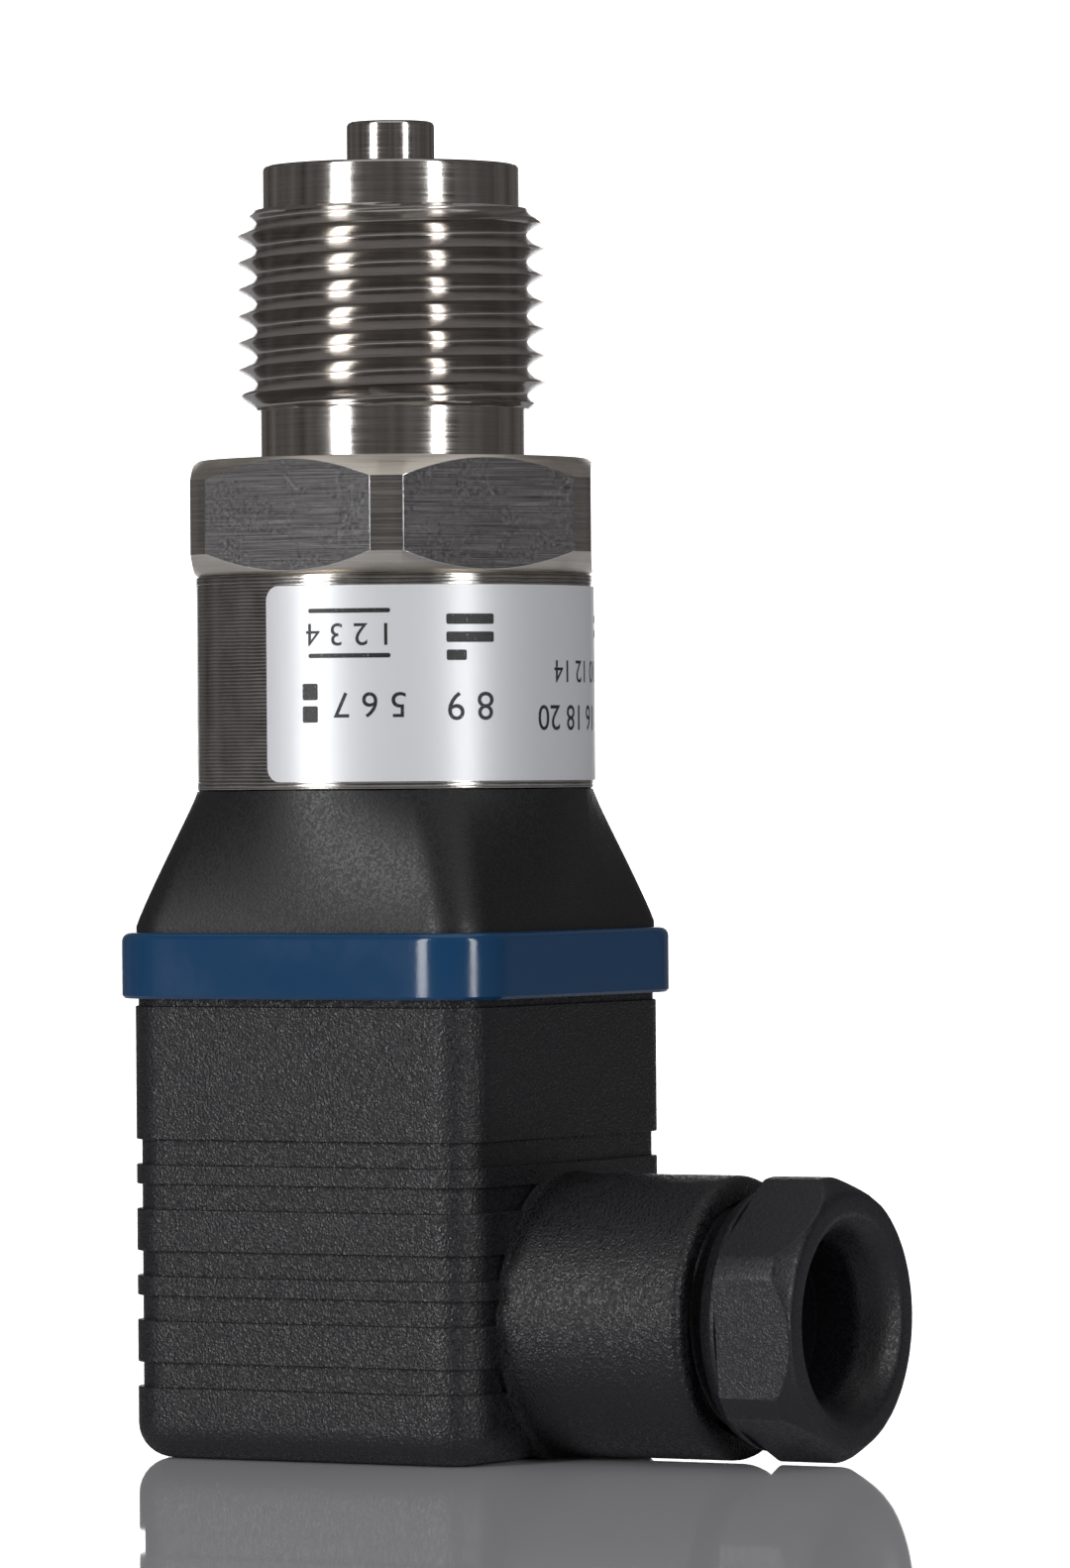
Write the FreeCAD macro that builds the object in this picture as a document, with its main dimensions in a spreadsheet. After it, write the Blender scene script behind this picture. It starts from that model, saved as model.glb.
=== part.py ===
"""Pressure transmitter with a welded stainless body and a square angled cable socket.

Millimetres. The instrument stands on the flat back of its cable socket, with the process
thread up. The origin is on the instrument's axis, in the plane of that back. +Z runs up to
the pressure pin and +X runs out through the cable gland.
"""
import FreeCAD, Part
import math
import os
import re

import Sketcher

SIZES = {
    # Process port: G 1/2 B gauge connection with a centring pin, turned from hexagon bar
    "pin_diameter": (6.0, "centring pin of the pressure gauge connection"),
    "pin_length": (3.0, "centring pin"),
    "nose_diameter": (17.5, "sealing nose behind the pin"),
    "nose_length": (3.0, "sealing nose"),
    "thread_diameter": (20.955, "major diameter of the G 1/2 thread"),
    "thread_length": (13.6, "threaded length with both chamfers"),
    "thread_chamfer": (1.15, "45 degree chamfer at each end of the thread"),
    "undercut_diameter": (18.0, "thread undercut"),
    "undercut_length": (3.4, "thread undercut"),
    "hex_corner_loss": (0.59, "turned off each corner of the hexagon"),
    "hex_height": (7.9, "spanner hexagon"),
    "hex_chamfer_rise": (1.45, "chamfer on the hexagon, along the axis"),
    "hex_chamfer_depth": (1.75, "chamfer on the hexagon, across the axis"),
    "hex_turn": (-0.75, "degrees from +X to a hexagon corner"),
    "edge_break": (0.4, "broken edges of the pin and the nose"),
    "pressure_bore": (3.0, "pressure channel through the pin"),
    "spigot_length": (3.4, "spigot inside the tube"),
    # Sensor capsule and its retaining ring
    "capsule_diameter": (19.0, "oil-filled sensor capsule"),
    "capsule_height": (6.0, "sensor capsule"),
    "capsule_groove_depth": (1.8, "O-ring groove in the capsule's side"),
    "capsule_groove_width": (2.4, "O-ring groove in the capsule's side"),
    "diaphragm_diameter": (16.0, "recessed diaphragm"),
    "diaphragm_recess": (0.5, "recessed diaphragm"),
    "capsule_ring_section": (1.7, "section of the capsule's O-ring"),
    "retainer_diameter": (21.0, "thread of the retaining ring"),
    "retainer_bore": (15.0, "retaining ring"),
    "retainer_height": (2.8, "retaining ring"),
    "retainer_set_back": (0.3, "retaining ring inside the spigot's end"),
    "retainer_slot": (1.6, "spanner slot across the retaining ring"),
    "retainer_slot_depth": (1.0, "spanner slot across the retaining ring"),
    "pin_circle": (7.0, "circle of the capsule's contact pins"),
    "pin_wire": (0.5, "diameter of a capsule contact pin"),
    "pin_stand": (0.5, "length of a contact pin past the board"),
    # Housing tube and rating label
    "tube_diameter": (27.0, "welded housing tube"),
    "tube_wall": (1.0, "housing tube"),
    "tube_length": (14.4, "housing tube"),
    "label_lift": (0.5, "label above the tube's lower end"),
    "label_set_back": (0.8, "label below the hexagon"),
    "label_start": (-98.0, "degrees from +X to the label's first edge"),
    "label_sweep": (240.0, "degrees that the label wraps round"),
    "label_film": (0.08, "thickness of the label"),
    "label_glue": (0.02, "adhesive under the label"),
    "label_corner": (1.0, "rounded label corners"),
    # Circuit board
    "board_side_gap": (1.3, "round circuit board inside the tube"),
    "board_thickness": (1.6, "round circuit board"),
    "board_lift": (1.6, "board above the plug base"),
    "chip_side": (4.5, "square chip package"),
    "chip_height": (1.5, "square chip package"),
    "capacitor_diameter": (4.0, "can capacitor"),
    "capacitor_height": (2.6, "can capacitor"),
    "part_offset": (7.6, "board parts from the axis"),
    # Plug base: moulded, round above and square below
    "cone_height": (9.1, "from the square lip to the round top"),
    "cone_top_flat": (0.1, "flat left on each side of the round top"),
    "lip_height": (0.45, "upright lip under the cone"),
    "lip_width": (27.4, "square lip"),
    "lip_corner": (4.0, "corner radius of the lip"),
    "base_spigot": (4.0, "plug base inside the tube"),
    "base_hollow_wall": (1.05, "between the spigot's hollow and its O-ring groove"),
    "base_hollow_depth": (3.0, "hollow in the spigot's top"),
    "base_groove_width": (1.8, "O-ring groove in the spigot"),
    "base_groove_depth": (1.55, "O-ring groove in the spigot"),
    "base_groove_lift": (1.1, "O-ring groove above the tube's lower end"),
    "base_ring_section": (1.4, "section of the spigot's O-ring"),
    # Contacts on a square pattern
    "blade_width": (6.3, "flat plug contact"),
    "blade_thickness": (0.8, "flat plug contact"),
    "blade_reach": (10.0, "blade below the plug base"),
    "blade_hold": (9.5, "blade inside the plug base"),
    "blade_tail": (2.0, "solder tail of a blade"),
    "blade_offset": (9.0, "blade from the axis"),
    "earth_lead": (1.0, "extra reach of the earth blade"),
    "nut_diameter": (5.0, "moulded-in brass nut"),
    "nut_length": (7.0, "moulded-in brass nut"),
    # Profile gasket
    "gasket_web": (1.5, "gasket between plug base and socket"),
    "gasket_skirt": (2.95, "collar round the plug base"),
    "gasket_width": (29.6, "outside of the collar"),
    "gasket_corner": (4.6, "corner radius of the collar"),
    "gasket_wall": (1.6, "collar"),
    "gasket_bevel": (0.45, "eased upper edge of the collar"),
    "gasket_hole": (7.0, "hole for the fixing screw"),
    # Cable socket housing
    "socket_width": (27.4, "square cable socket"),
    "socket_height": (31.0, "cable socket"),
    "socket_corner": (3.0, "corner radius of the cable socket"),
    "socket_foot_round": (2.4, "rounded edge of the socket's back"),
    "socket_wall": (1.8, "moulded wall"),
    "socket_floor": (2.5, "moulded back"),
    "rim_height": (0.5, "stepped rim under the gasket"),
    "rim_step": (0.2, "stepped rim under the gasket"),
    "grip_top": (21.5, "top of the uppermost grip recess"),
    "grip_recess": (1.66, "height of a grip recess"),
    "grip_depth": (0.37, "depth of a grip recess"),
    "grip_narrow": (1.34, "narrow grip rib"),
    "grip_wide": (2.84, "wide grip rib"),
    "centre_boss": (10.0, "boss round the fixing screw"),
    "centre_boss_top": (6.5, "top of that boss above the back"),
    # Cable gland
    "gland_height": (9.6, "gland axis above the back"),
    "gland_boss": (19.0, "gland boss"),
    "gland_reach": (27.0, "end of the boss from the instrument's axis"),
    "gland_boss_bevel": (0.6, "eased end of the boss"),
    "gland_thread": (15.2, "gland thread"),
    "gland_thread_depth": (10.5, "threaded hole in the boss"),
    "gland_throat": (10.0, "passage into the wiring room"),
    "bush_side_gap": (0.2, "bush and washer inside the gland thread"),
    "bush_length": (5.0, "rubber gland bush"),
    "bush_bore": (8.0, "cable hole in the bush"),
    "bush_edge": (0.4, "flared ends of the cable hole"),
    "washer_thickness": (1.0, "slip washer on the bush"),
    "washer_bore": (9.0, "slip washer on the bush"),
    "nut_gap": (1.0, "gap between the boss and the nut's collar"),
    "nut_collar_diameter": (17.6, "collar of the gland nut"),
    "nut_collar": (1.3, "collar of the gland nut"),
    "nut_hex_flats": (17.2, "gland nut hexagon"),
    "nut_corner_loss": (0.43, "turned off each corner of the gland nut"),
    "nut_hex": (4.4, "parallel length of the nut's hexagon"),
    "nut_cone": (1.3, "conical front of the nut, along the axis"),
    "nut_cone_depth": (1.0, "conical front of the nut, across the axis"),
    "nut_mouth": (14.0, "outer end of the nut's funnel"),
    "nut_bore": (10.6, "cable hole through the nut"),
    "nut_funnel": (2.6, "length of the nut's funnel"),
    "nut_turn": (5.7, "degrees that the nut's hexagon is turned"),
    # Contact carrier, socket contacts and terminal screws
    "carrier_gap": (0.2, "carrier inside the housing"),
    "carrier_height": (16.5, "contact carrier"),
    "carrier_corner": (1.4, "corner radius of the carrier"),
    "carrier_sleeve": (7.0, "sleeve round the fixing screw"),
    "carrier_roof": (0.5, "carrier above the contacts"),
    "contact_width": (7.0, "socket contact"),
    "contact_depth": (2.2, "forked end of a socket contact"),
    "fork_length": (11.0, "forked end of a socket contact"),
    "fork_floor": (0.6, "metal under the fork's slot"),
    "terminal_depth": (4.4, "terminal block, across the contact"),
    "terminal_width": (6.0, "terminal block"),
    "terminal_height": (5.0, "terminal block"),
    "wire_hole": (2.4, "wire hole in a terminal"),
    "terminal_offset": (8.2, "terminal block from the axis"),
    "terminal_screw": (2.6, "terminal screw"),
    "terminal_screw_length": (2.2, "terminal screw in its block"),
    "terminal_head": (4.0, "terminal screw head"),
    "terminal_head_height": (1.6, "terminal screw head"),
    # Fixing screw and its seal
    "screw_diameter": (2.9, "fixing screw"),
    "screw_grip": (6.0, "fixing screw inside the brass nut"),
    "screw_hole": (3.5, "clearance hole for the fixing screw"),
    "screw_head": (5.6, "cheese head"),
    "screw_head_height": (2.2, "cheese head"),
    "screw_slot": (0.9, "driver slot"),
    "screw_slot_depth": (1.1, "driver slot"),
    "screw_recess": (6.4, "recess for the screw head"),
    "screw_recess_depth": (4.2, "recess for the screw head"),
    "seal_thickness": (1.0, "seal ring under the screw head"),
    # Fits
    "running_gap": (0.05, "radial gap of a turned or threaded fit"),
    "moulded_gap": (0.1, "gap beside a contact in its moulding"),
    "slot_gap": (0.3, "gap round a blade in a soft or guiding slot"),
}

# Levels and sizes that follow from the driving ones
DERIVED = {
    "base_face": "socket_height + gasket_web",
    "cone_foot": "gasket_skirt + lip_height",
    "cone_top": "cone_foot + cone_height",
    "tube_foot": "base_face + cone_top",
    "tube_inside": "tube_diameter / 2 - tube_wall",
    "base_hollow": "2 * (tube_inside - base_groove_depth - base_hollow_wall)",
    "board_diameter": "2 * (tube_inside - board_side_gap)",
    "hex_across_flats": "tube_diameter",
    "hex_foot": "tube_foot + tube_length",
    "hex_corner": "hex_across_flats / sqrt(3) - hex_corner_loss",
    "label_height": "tube_length - label_lift - label_set_back",
    "board_foot": "tube_foot + base_spigot + board_lift",
    "board_top": "board_foot + board_thickness",
    "retainer_top": "retainer_set_back + retainer_height - spigot_length",
    "capsule_roof": "retainer_top + capsule_height",
    "capsule_foot": "hex_foot + retainer_top",
    "thread_foot": "hex_height + undercut_length",
    "thread_top": "thread_foot + thread_length",
    "nose_top": "thread_top + nose_length",
    "pin_top": "nose_top + pin_length",
    "stub_half": "gasket_width / 2 - gasket_wall - moulded_gap",
    "stub_corner": "gasket_corner - gasket_wall",
    "room_half": "socket_width / 2 - socket_wall",
    "carrier_foot": "socket_height - carrier_height",
    "contact_top": "carrier_height - carrier_roof",
    "contact_length": "fork_length + terminal_height",
    "cavity_half": "contact_width / 2 + moulded_gap",
    "boss_bore_foot": "gland_reach - gland_thread_depth",
    "bush_half": "gland_thread / 2 - bush_side_gap",
    "washer_foot": "boss_bore_foot + bush_length",
    "nut_foot": "washer_foot + washer_thickness",
    "nut_shank": "gland_reach + nut_gap - nut_foot",
    "nut_corner": "nut_hex_flats / sqrt(3) - nut_corner_loss",
    "nut_hex_foot": "nut_shank + nut_collar",
    "nut_hex_top": "nut_hex_foot + nut_hex",
    "nut_front": "nut_hex_top + nut_cone",
    "seal_foot": "screw_recess_depth - seal_thickness",
    "screw_shank": "base_face + screw_grip - seal_foot",
}

doc = FreeCAD.newDocument("PressureTransmitter")
sheet = doc.addObject("Spreadsheet::Sheet", "sizes")
subparts = {}


def fill_sheet():
    for row, (name, (number, meaning)) in enumerate(SIZES.items(), start=1):
        sheet.set(f"A{row}", meaning)
        sheet.set(f"B{row}", str(number))
        sheet.setAlias(f"B{row}", name)
    doc.recompute()


def formula(text):
    """The text with each size named in full, as the sheet's cells are read."""
    def full(match):
        word = match.group(0)
        if word in DERIVED:
            return "(" + formula(DERIVED[word]) + ")"
        return "sizes." + word if word in SIZES else word
    return re.sub(r"[a-z_]\w*", full, text)


def worth(text):
    return float(sheet.evalExpression(formula(text)))


def bind(thing, **sizes):
    for name, text in sizes.items():
        thing.setExpression(name, formula(text))


def place(thing, along=("0", "0", "0"), turn="0", axis=(0, 0, 1)):
    """Names the sub-part's seat in the instrument's frame; turn is about axis, in degrees."""
    thing.Placement = FreeCAD.Placement(FreeCAD.Vector(), FreeCAD.Rotation(FreeCAD.Vector(*axis), 1))
    for letter, text in zip("xyz", along):
        thing.setExpression("Placement.Base." + letter, formula(text))
    thing.setExpression("Placement.Rotation.Angle", formula(turn))


def subpart(thing, node):
    thing.Label = node
    subparts[node] = thing
    return thing


def new_body(node):
    return subpart(doc.addObject("PartDesign::Body", node + "_body"), node)


def new_sketch(body, plane="XY", height="0"):
    """An empty sketch on one of the body's origin planes, moved along the plane's normal."""
    made = body.newObject("Sketcher::SketchObject", "sketch")
    seat = next(part for part in body.Origin.OriginFeatures if part.Role == plane + "_Plane")
    made.AttachmentSupport = [(seat, "")]
    made.MapMode = "FlatFace"
    made.setExpression("AttachmentOffset.Base.z", formula(height))
    return made


def hold(made, kind, *where, text):
    number = made.addConstraint(Sketcher.Constraint(kind, *where, worth(text)))
    made.setExpression(f"Constraints[{number}]", formula(text))


def straight(made, corners):
    """A closed outline of straight lines; each corner is a pair of formulas."""
    first = made.GeometryCount
    points = [FreeCAD.Vector(worth(across), worth(up), 0) for across, up in corners]
    for start, end in zip(points, points[1:] + points[:1]):
        made.addGeometry(Part.LineSegment(start, end))
    for step, (across, up) in enumerate(corners):
        following = first + (step + 1) % len(corners)
        made.addConstraint(Sketcher.Constraint("Coincident", first + step, 2, following, 1))
        hold(made, "DistanceX", -1, 1, first + step, 1, text=across)
        hold(made, "DistanceY", -1, 1, first + step, 1, text=up)
    return made


def box_outline(made, low, high):
    (left, foot), (right, top) = low, high
    return straight(made, [(left, foot), (right, foot), (right, top), (left, top)])


def blade_slot(made, width, gap):
    """The outline of a flat contact of a width, on +X, with a gap all round."""
    out, across = f"(blade_thickness / 2 + {gap})", f"({width} / 2 + {gap})"
    return box_outline(made, (f"blade_offset - {out}", f"-1 * {across}"),
                       (f"blade_offset + {out}", across))


def circle(made, diameter, across="0", up="0"):
    centre = FreeCAD.Vector(worth(across), worth(up), 0)
    number = made.addGeometry(Part.Circle(centre, FreeCAD.Vector(0, 0, 1), worth(diameter) / 2))
    hold(made, "Diameter", number, text=diameter)
    hold(made, "DistanceX", -1, 1, number, 3, text=across)
    hold(made, "DistanceY", -1, 1, number, 3, text=up)
    return made


def hexagon(made, flats):
    """Across the flats, with one pair of corners on the sketch's horizontal axis."""
    far, near, side = f"{flats} / sqrt(3)", f"{flats} / sqrt(12)", f"{flats} / 2"
    return straight(made, [(far, "0"), (near, side), ("-" + near, side),
                           ("-" + far, "0"), ("-" + near, "-" + side), (near, "-" + side)])


def rounded_square(made, half, corner):
    """A square outline with equal corner arcs, centred on the sketch's origin."""
    first = made.GeometryCount
    reach, radius = worth(half), worth(corner)
    flat = reach - radius
    for quarter in range(4):
        turn = FreeCAD.Rotation(FreeCAD.Vector(0, 0, 1), 90 * quarter)
        start, end = FreeCAD.Vector(-flat, -reach, 0), FreeCAD.Vector(flat, -reach, 0)
        made.addGeometry(Part.LineSegment(turn.multVec(start), turn.multVec(end)))
    for quarter in range(4):
        turn = FreeCAD.Rotation(FreeCAD.Vector(0, 0, 1), 90 * quarter)
        arc = Part.Circle(turn.multVec(FreeCAD.Vector(flat, -flat, 0)), FreeCAD.Vector(0, 0, 1), radius)
        opening = math.radians(90 * (quarter - 1))
        made.addGeometry(Part.ArcOfCircle(arc, opening, opening + math.pi / 2))
    for side in range(4):
        line, arc, following = first + side, first + 4 + side, first + (side + 1) % 4
        made.addConstraint(Sketcher.Constraint("Tangent", line, 2, arc, 1))
        made.addConstraint(Sketcher.Constraint("Tangent", arc, 2, following, 1))
        made.addConstraint(Sketcher.Constraint(("Horizontal", "Vertical")[side % 2], line))
    for side in (1, 2, 3):
        made.addConstraint(Sketcher.Constraint("Equal", first + 4, first + 4 + side))
    hold(made, "Radius", first + 4, text=corner)
    for side, kind, sign in ((0, "DistanceY", "-"), (1, "DistanceX", ""),
                             (2, "DistanceY", ""), (3, "DistanceX", "-")):
        hold(made, kind, -1, 1, first + side, 1, text=f"{sign}1 * ({half})")
    return made


def pad(body, made, length, down=False, both_ways=False):
    feature = body.newObject("PartDesign::Pad", "pad")
    feature.Profile = made
    feature.Reversed = down
    feature.Midplane = both_ways
    bind(feature, Length=length)
    return feature


def pocket(body, made, length, up=False, both_ways=False):
    """Cuts against the sketch's normal, or along it with up."""
    doc.recompute()
    before = body.Shape.Volume
    feature = body.newObject("PartDesign::Pocket", "pocket")
    feature.Profile = made
    feature.Reversed = up
    feature.Midplane = both_ways
    bind(feature, Length=length)
    doc.recompute()
    if body.Shape.Volume >= before:
        raise ValueError(body.Label + ": a pocket removes nothing")
    return feature


def turned(body, corners, sweep="360"):
    """A turned form: the half section in the XZ plane, swept about the body's Z axis."""
    section = straight(new_sketch(body, "XZ"), corners)
    feature = body.newObject("PartDesign::Revolution", "turned")
    feature.Profile = section
    feature.ReferenceAxis = (section, ["V_Axis"])
    bind(feature, Angle=sweep)
    return feature


def repeat_round(body, features, made, copies):
    """Repeats features in a full circle about the normal of the sketch made."""
    doc.recompute()
    pattern = body.newObject("PartDesign::PolarPattern", "pattern")
    pattern.Originals = features
    pattern.Axis = (made, ["N_Axis"])
    pattern.Angle = 360
    pattern.Occurrences = copies
    body.Tip = pattern
    return pattern


def ease_edges(body, kind, base, wanted, size):
    """Rounds or bevels the edges of base for which wanted is true; kind is Fillet or Chamfer."""
    doc.recompute()
    names = [f"Edge{number}" for number, edge in enumerate(base.Shape.Edges, start=1) if wanted(edge)]
    if not names:
        raise ValueError(body.Label + ": no edge to ease")
    feature = body.newObject("PartDesign::" + kind, "eased")
    feature.Base = (base, names)
    bind(feature, **{{"Fillet": "Radius", "Chamfer": "Size"}[kind]: size})
    return feature


def level_edge(height, beyond="0"):
    """Edges that lie wholly at a height and no nearer the axis than beyond."""
    level, reach = worth(height), worth(beyond)

    def wanted(edge):
        box = edge.BoundBox
        flat = abs(box.ZMin - level) < 1e-3 and abs(box.ZMax - level) < 1e-3
        return flat and all(math.hypot(v.X, v.Y) > reach - 1e-3 for v in edge.Vertexes)
    return wanted


def ring(body, outer, inner, thickness):
    return pad(body, circle(circle(new_sketch(body), outer), inner), thickness)


def seal_ring(node, inner, section, height):
    """A squeezed O-ring, octagonal in section; inner is its least radius and height its mid-plane."""
    middle, half, flat = f"{inner} + {section} / 2", f"{section} / 2", f"{section} * (sqrt(2) - 1) / 2"
    around = [("-", half, "-1", flat), ("-", flat, "-1", half), ("+", flat, "-1", half),
              ("+", half, "-1", flat), ("+", half, "1", flat), ("+", flat, "1", half),
              ("-", flat, "1", half), ("-", half, "1", flat)]
    body = new_body(node)
    turned(body, [(f"{middle} {side} {out}", f"{sign} * {up}") for side, out, sign, up in around])
    place(body, ("0", "0", height))


def make_process_port():
    """Turned and milled from one bar, and bored from below for the sensor capsule."""
    body = new_body("process_port")
    bore, roof, step = "pressure_bore / 2", "capsule_roof", "retainer_top"
    capsule, ring_bore = "capsule_diameter / 2 + running_gap", "retainer_diameter / 2"
    spigot, foot = "tube_inside - running_gap", "-1 * spigot_length"
    corner, face = "hex_corner", "hex_corner - hex_chamfer_depth"
    neck, thread = "undercut_diameter / 2", "thread_diameter / 2"
    thread_end = "thread_diameter / 2 - thread_chamfer"
    nose, pin = "nose_diameter / 2", "pin_diameter / 2"
    turned(body, [
        (bore, roof), (capsule, roof), (capsule, step), (ring_bore, step), (ring_bore, foot),
        (spigot, foot), (spigot, "0"), (face, "0"), (corner, "hex_chamfer_rise"),
        (corner, "hex_height - hex_chamfer_rise"), (face, "hex_height"), (neck, "hex_height"),
        (neck, "thread_foot"), (thread_end, "thread_foot"),
        (thread, "thread_foot + thread_chamfer"), (thread, "thread_top - thread_chamfer"),
        (thread_end, "thread_top"), (nose, "thread_top"), (nose, "nose_top - edge_break"),
        (nose + " - edge_break", "nose_top"), (pin, "nose_top"), (pin, "pin_top - edge_break"),
        (pin + " - edge_break", "pin_top"), (bore, "pin_top")])
    flats = circle(hexagon(new_sketch(body), "hex_across_flats"), "2 * hex_across_flats")
    pocket(body, flats, "hex_height", up=True)
    place(body, ("0", "0", "hex_foot"), turn="hex_turn")


def make_sensor():
    """The capsule with its side seal, its contact pins and the ring that holds it."""
    body = new_body("sensor_capsule")
    side, groove = "capsule_diameter / 2", "capsule_diameter / 2 - capsule_groove_depth"
    low = "(capsule_height - capsule_groove_width) / 2"
    high = "(capsule_height + capsule_groove_width) / 2"
    recess, face = "diaphragm_diameter / 2", "capsule_height - diaphragm_recess"
    turned(body, [("0", "0"), (side, "0"), (side, low), (groove, low), (groove, high), (side, high),
                  (side, "capsule_height"), (recess, "capsule_height"), (recess, face), ("0", face)])
    place(body, ("0", "0", "capsule_foot"))

    seal_ring("sensor_o_ring", groove + " + running_gap", "capsule_ring_section",
              "capsule_foot + capsule_height / 2")

    body = new_body("sensor_retainer")
    ring(body, "retainer_diameter - 2 * running_gap", "retainer_bore", "retainer_height")
    slot = box_outline(new_sketch(body), ("-1 * retainer_diameter", "-1 * retainer_slot / 2"),
                       ("retainer_diameter", "retainer_slot / 2"))
    pocket(body, slot, "retainer_slot_depth", up=True)
    place(body, ("0", "0", "capsule_foot - retainer_height"))

    body = new_body("sensor_pins")
    made = circle(new_sketch(body), "pin_wire", across="pin_circle / 2")
    first = pad(body, made, "capsule_foot - board_foot + pin_stand")
    repeat_round(body, [first], made, 5)
    place(body, ("0", "0", "board_foot - pin_stand"))


def make_tube_and_label():
    body = new_body("housing_tube")
    ring(body, "tube_diameter", "2 * tube_inside", "tube_length")
    place(body, ("0", "0", "tube_foot"))

    body = new_body("rating_label")
    back, front = "tube_diameter / 2 + label_glue", "tube_diameter / 2 + label_glue + label_film"
    film = turned(body, [(back, "0"), (front, "0"), (front, "label_height"), (back, "label_height")],
                  sweep="label_sweep")
    thickness = worth("label_film")
    ease_edges(body, "Fillet", film, lambda edge: abs(edge.Length - thickness) < thickness / 10,
               "label_corner")
    place(body, ("0", "0", "tube_foot + label_lift"), turn="label_start + label_sweep / 2")
    film.Midplane = True


def make_board():
    body = new_body("circuit_board")
    made = circle(new_sketch(body), "board_diameter")
    pad(body, made, "board_thickness")
    hole = circle(new_sketch(body), "pin_wire + 2 * moulded_gap", across="pin_circle / 2")
    drilled = pocket(body, hole, "board_thickness", up=True)
    repeat_round(body, [drilled], made, 5)
    place(body, ("0", "0", "board_foot"))

    body = new_body("board_components")
    half = "chip_side / 2"
    made = box_outline(new_sketch(body), ("part_offset - " + half, "-1 * " + half),
                       ("part_offset + " + half, half))
    repeat_round(body, [pad(body, made, "chip_height")], made, 2)
    made = circle(new_sketch(body), "capacitor_diameter", up="part_offset")
    cans = pad(body, made, "capacitor_height")
    repeat_round(body, [cans], made, 2)
    place(body, ("0", "0", "board_top"))


def make_plug_base():
    """Moulded: a square stub and lip below, a cone, and a round spigot in the tube."""
    body = new_body("plug_base")
    stub = rounded_square(new_sketch(body), "stub_half", "stub_corner")
    pad(body, stub, "gasket_skirt")
    lip = rounded_square(new_sketch(body, height="gasket_skirt"), "lip_width / 2", "lip_corner")
    pad(body, lip, "lip_height")
    cone_foot = rounded_square(new_sketch(body, height="cone_foot"), "lip_width / 2", "lip_corner")
    cone_top = rounded_square(new_sketch(body, height="cone_top"), "tube_diameter / 2",
                              "tube_diameter / 2 - cone_top_flat")
    cone = body.newObject("PartDesign::AdditiveLoft", "cone")
    cone.Profile = cone_foot
    cone.Sections = [cone_top]
    cone.Ruled = True
    side, groove = "tube_inside - running_gap", "tube_inside - base_groove_depth"
    low = "cone_top + base_groove_lift"
    top = "cone_top + base_spigot"
    turned(body, [
        ("0", "cone_top"), (side, "cone_top"), (side, low), (groove, low),
        (groove, low + " + base_groove_width"), (side, low + " + base_groove_width"),
        (side, top), ("0", top)])
    pocket(body, circle(new_sketch(body, height=top), "base_hollow"), "base_hollow_depth")
    pocket(body, circle(new_sketch(body), "nut_diameter + 2 * moulded_gap"), "nut_length", up=True)
    made = blade_slot(new_sketch(body), "blade_width", "moulded_gap")
    repeat_round(body, [pocket(body, made, "blade_hold", up=True)], made, 4)
    made = blade_slot(new_sketch(body, height="blade_hold"), "blade_tail", "moulded_gap")
    repeat_round(body, [pocket(body, made, top, up=True)], made, 4)
    place(body, ("0", "0", "base_face"))

    seal_ring("base_o_ring", groove + " + running_gap", "base_ring_section",
              "tube_foot + base_groove_lift + base_groove_width / 2")

    body = new_body("insert_nut")
    ring(body, "nut_diameter", "screw_diameter + 2 * running_gap", "nut_length")
    place(body, ("0", "0", "base_face"))


def make_blades():
    """Flat contacts with a solder tail that carries the board; the earth blade mates first."""
    for node, turn, lead in (("contact_blade_1", 0, "0"), ("contact_blade_2", 180, "0"),
                             ("contact_blade_3", 90, "0"), ("earth_blade", 270, "earth_lead")):
        body = new_body(node)
        side, tail = "blade_width / 2", "blade_tail / 2"
        foot = f"-1 * (blade_reach + {lead})"
        end = "board_foot - base_face"
        made = straight(new_sketch(body, "YZ", height="blade_offset"), [
            ("-1 * " + side, foot), (side, foot), (side, "blade_hold"), (tail, "blade_hold"),
            (tail, end), ("-1 * " + tail, end), ("-1 * " + tail, "blade_hold"),
            ("-1 * " + side, "blade_hold")])
        pad(body, made, "blade_thickness", both_ways=True)
        place(body, ("0", "0", "base_face"), turn=str(turn))


def make_gasket():
    """Profile gasket: a flat web between the mating faces and a collar round the plug base."""
    body = new_body("profile_gasket")
    whole = "gasket_web + gasket_skirt"
    block = pad(body, rounded_square(new_sketch(body), "gasket_width / 2", "gasket_corner"), whole)
    ease_edges(body, "Chamfer", block, level_edge(whole), "gasket_bevel")
    inside = rounded_square(new_sketch(body, height="gasket_web"), "stub_half + moulded_gap",
                            "stub_corner + moulded_gap")
    pocket(body, inside, "gasket_skirt", up=True)
    pocket(body, circle(new_sketch(body), "gasket_hole"), "gasket_web", up=True)
    made = blade_slot(new_sketch(body), "blade_width", "slot_gap")
    repeat_round(body, [pocket(body, made, "gasket_web", up=True)], made, 4)
    place(body, ("0", "0", "socket_height"))


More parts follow.
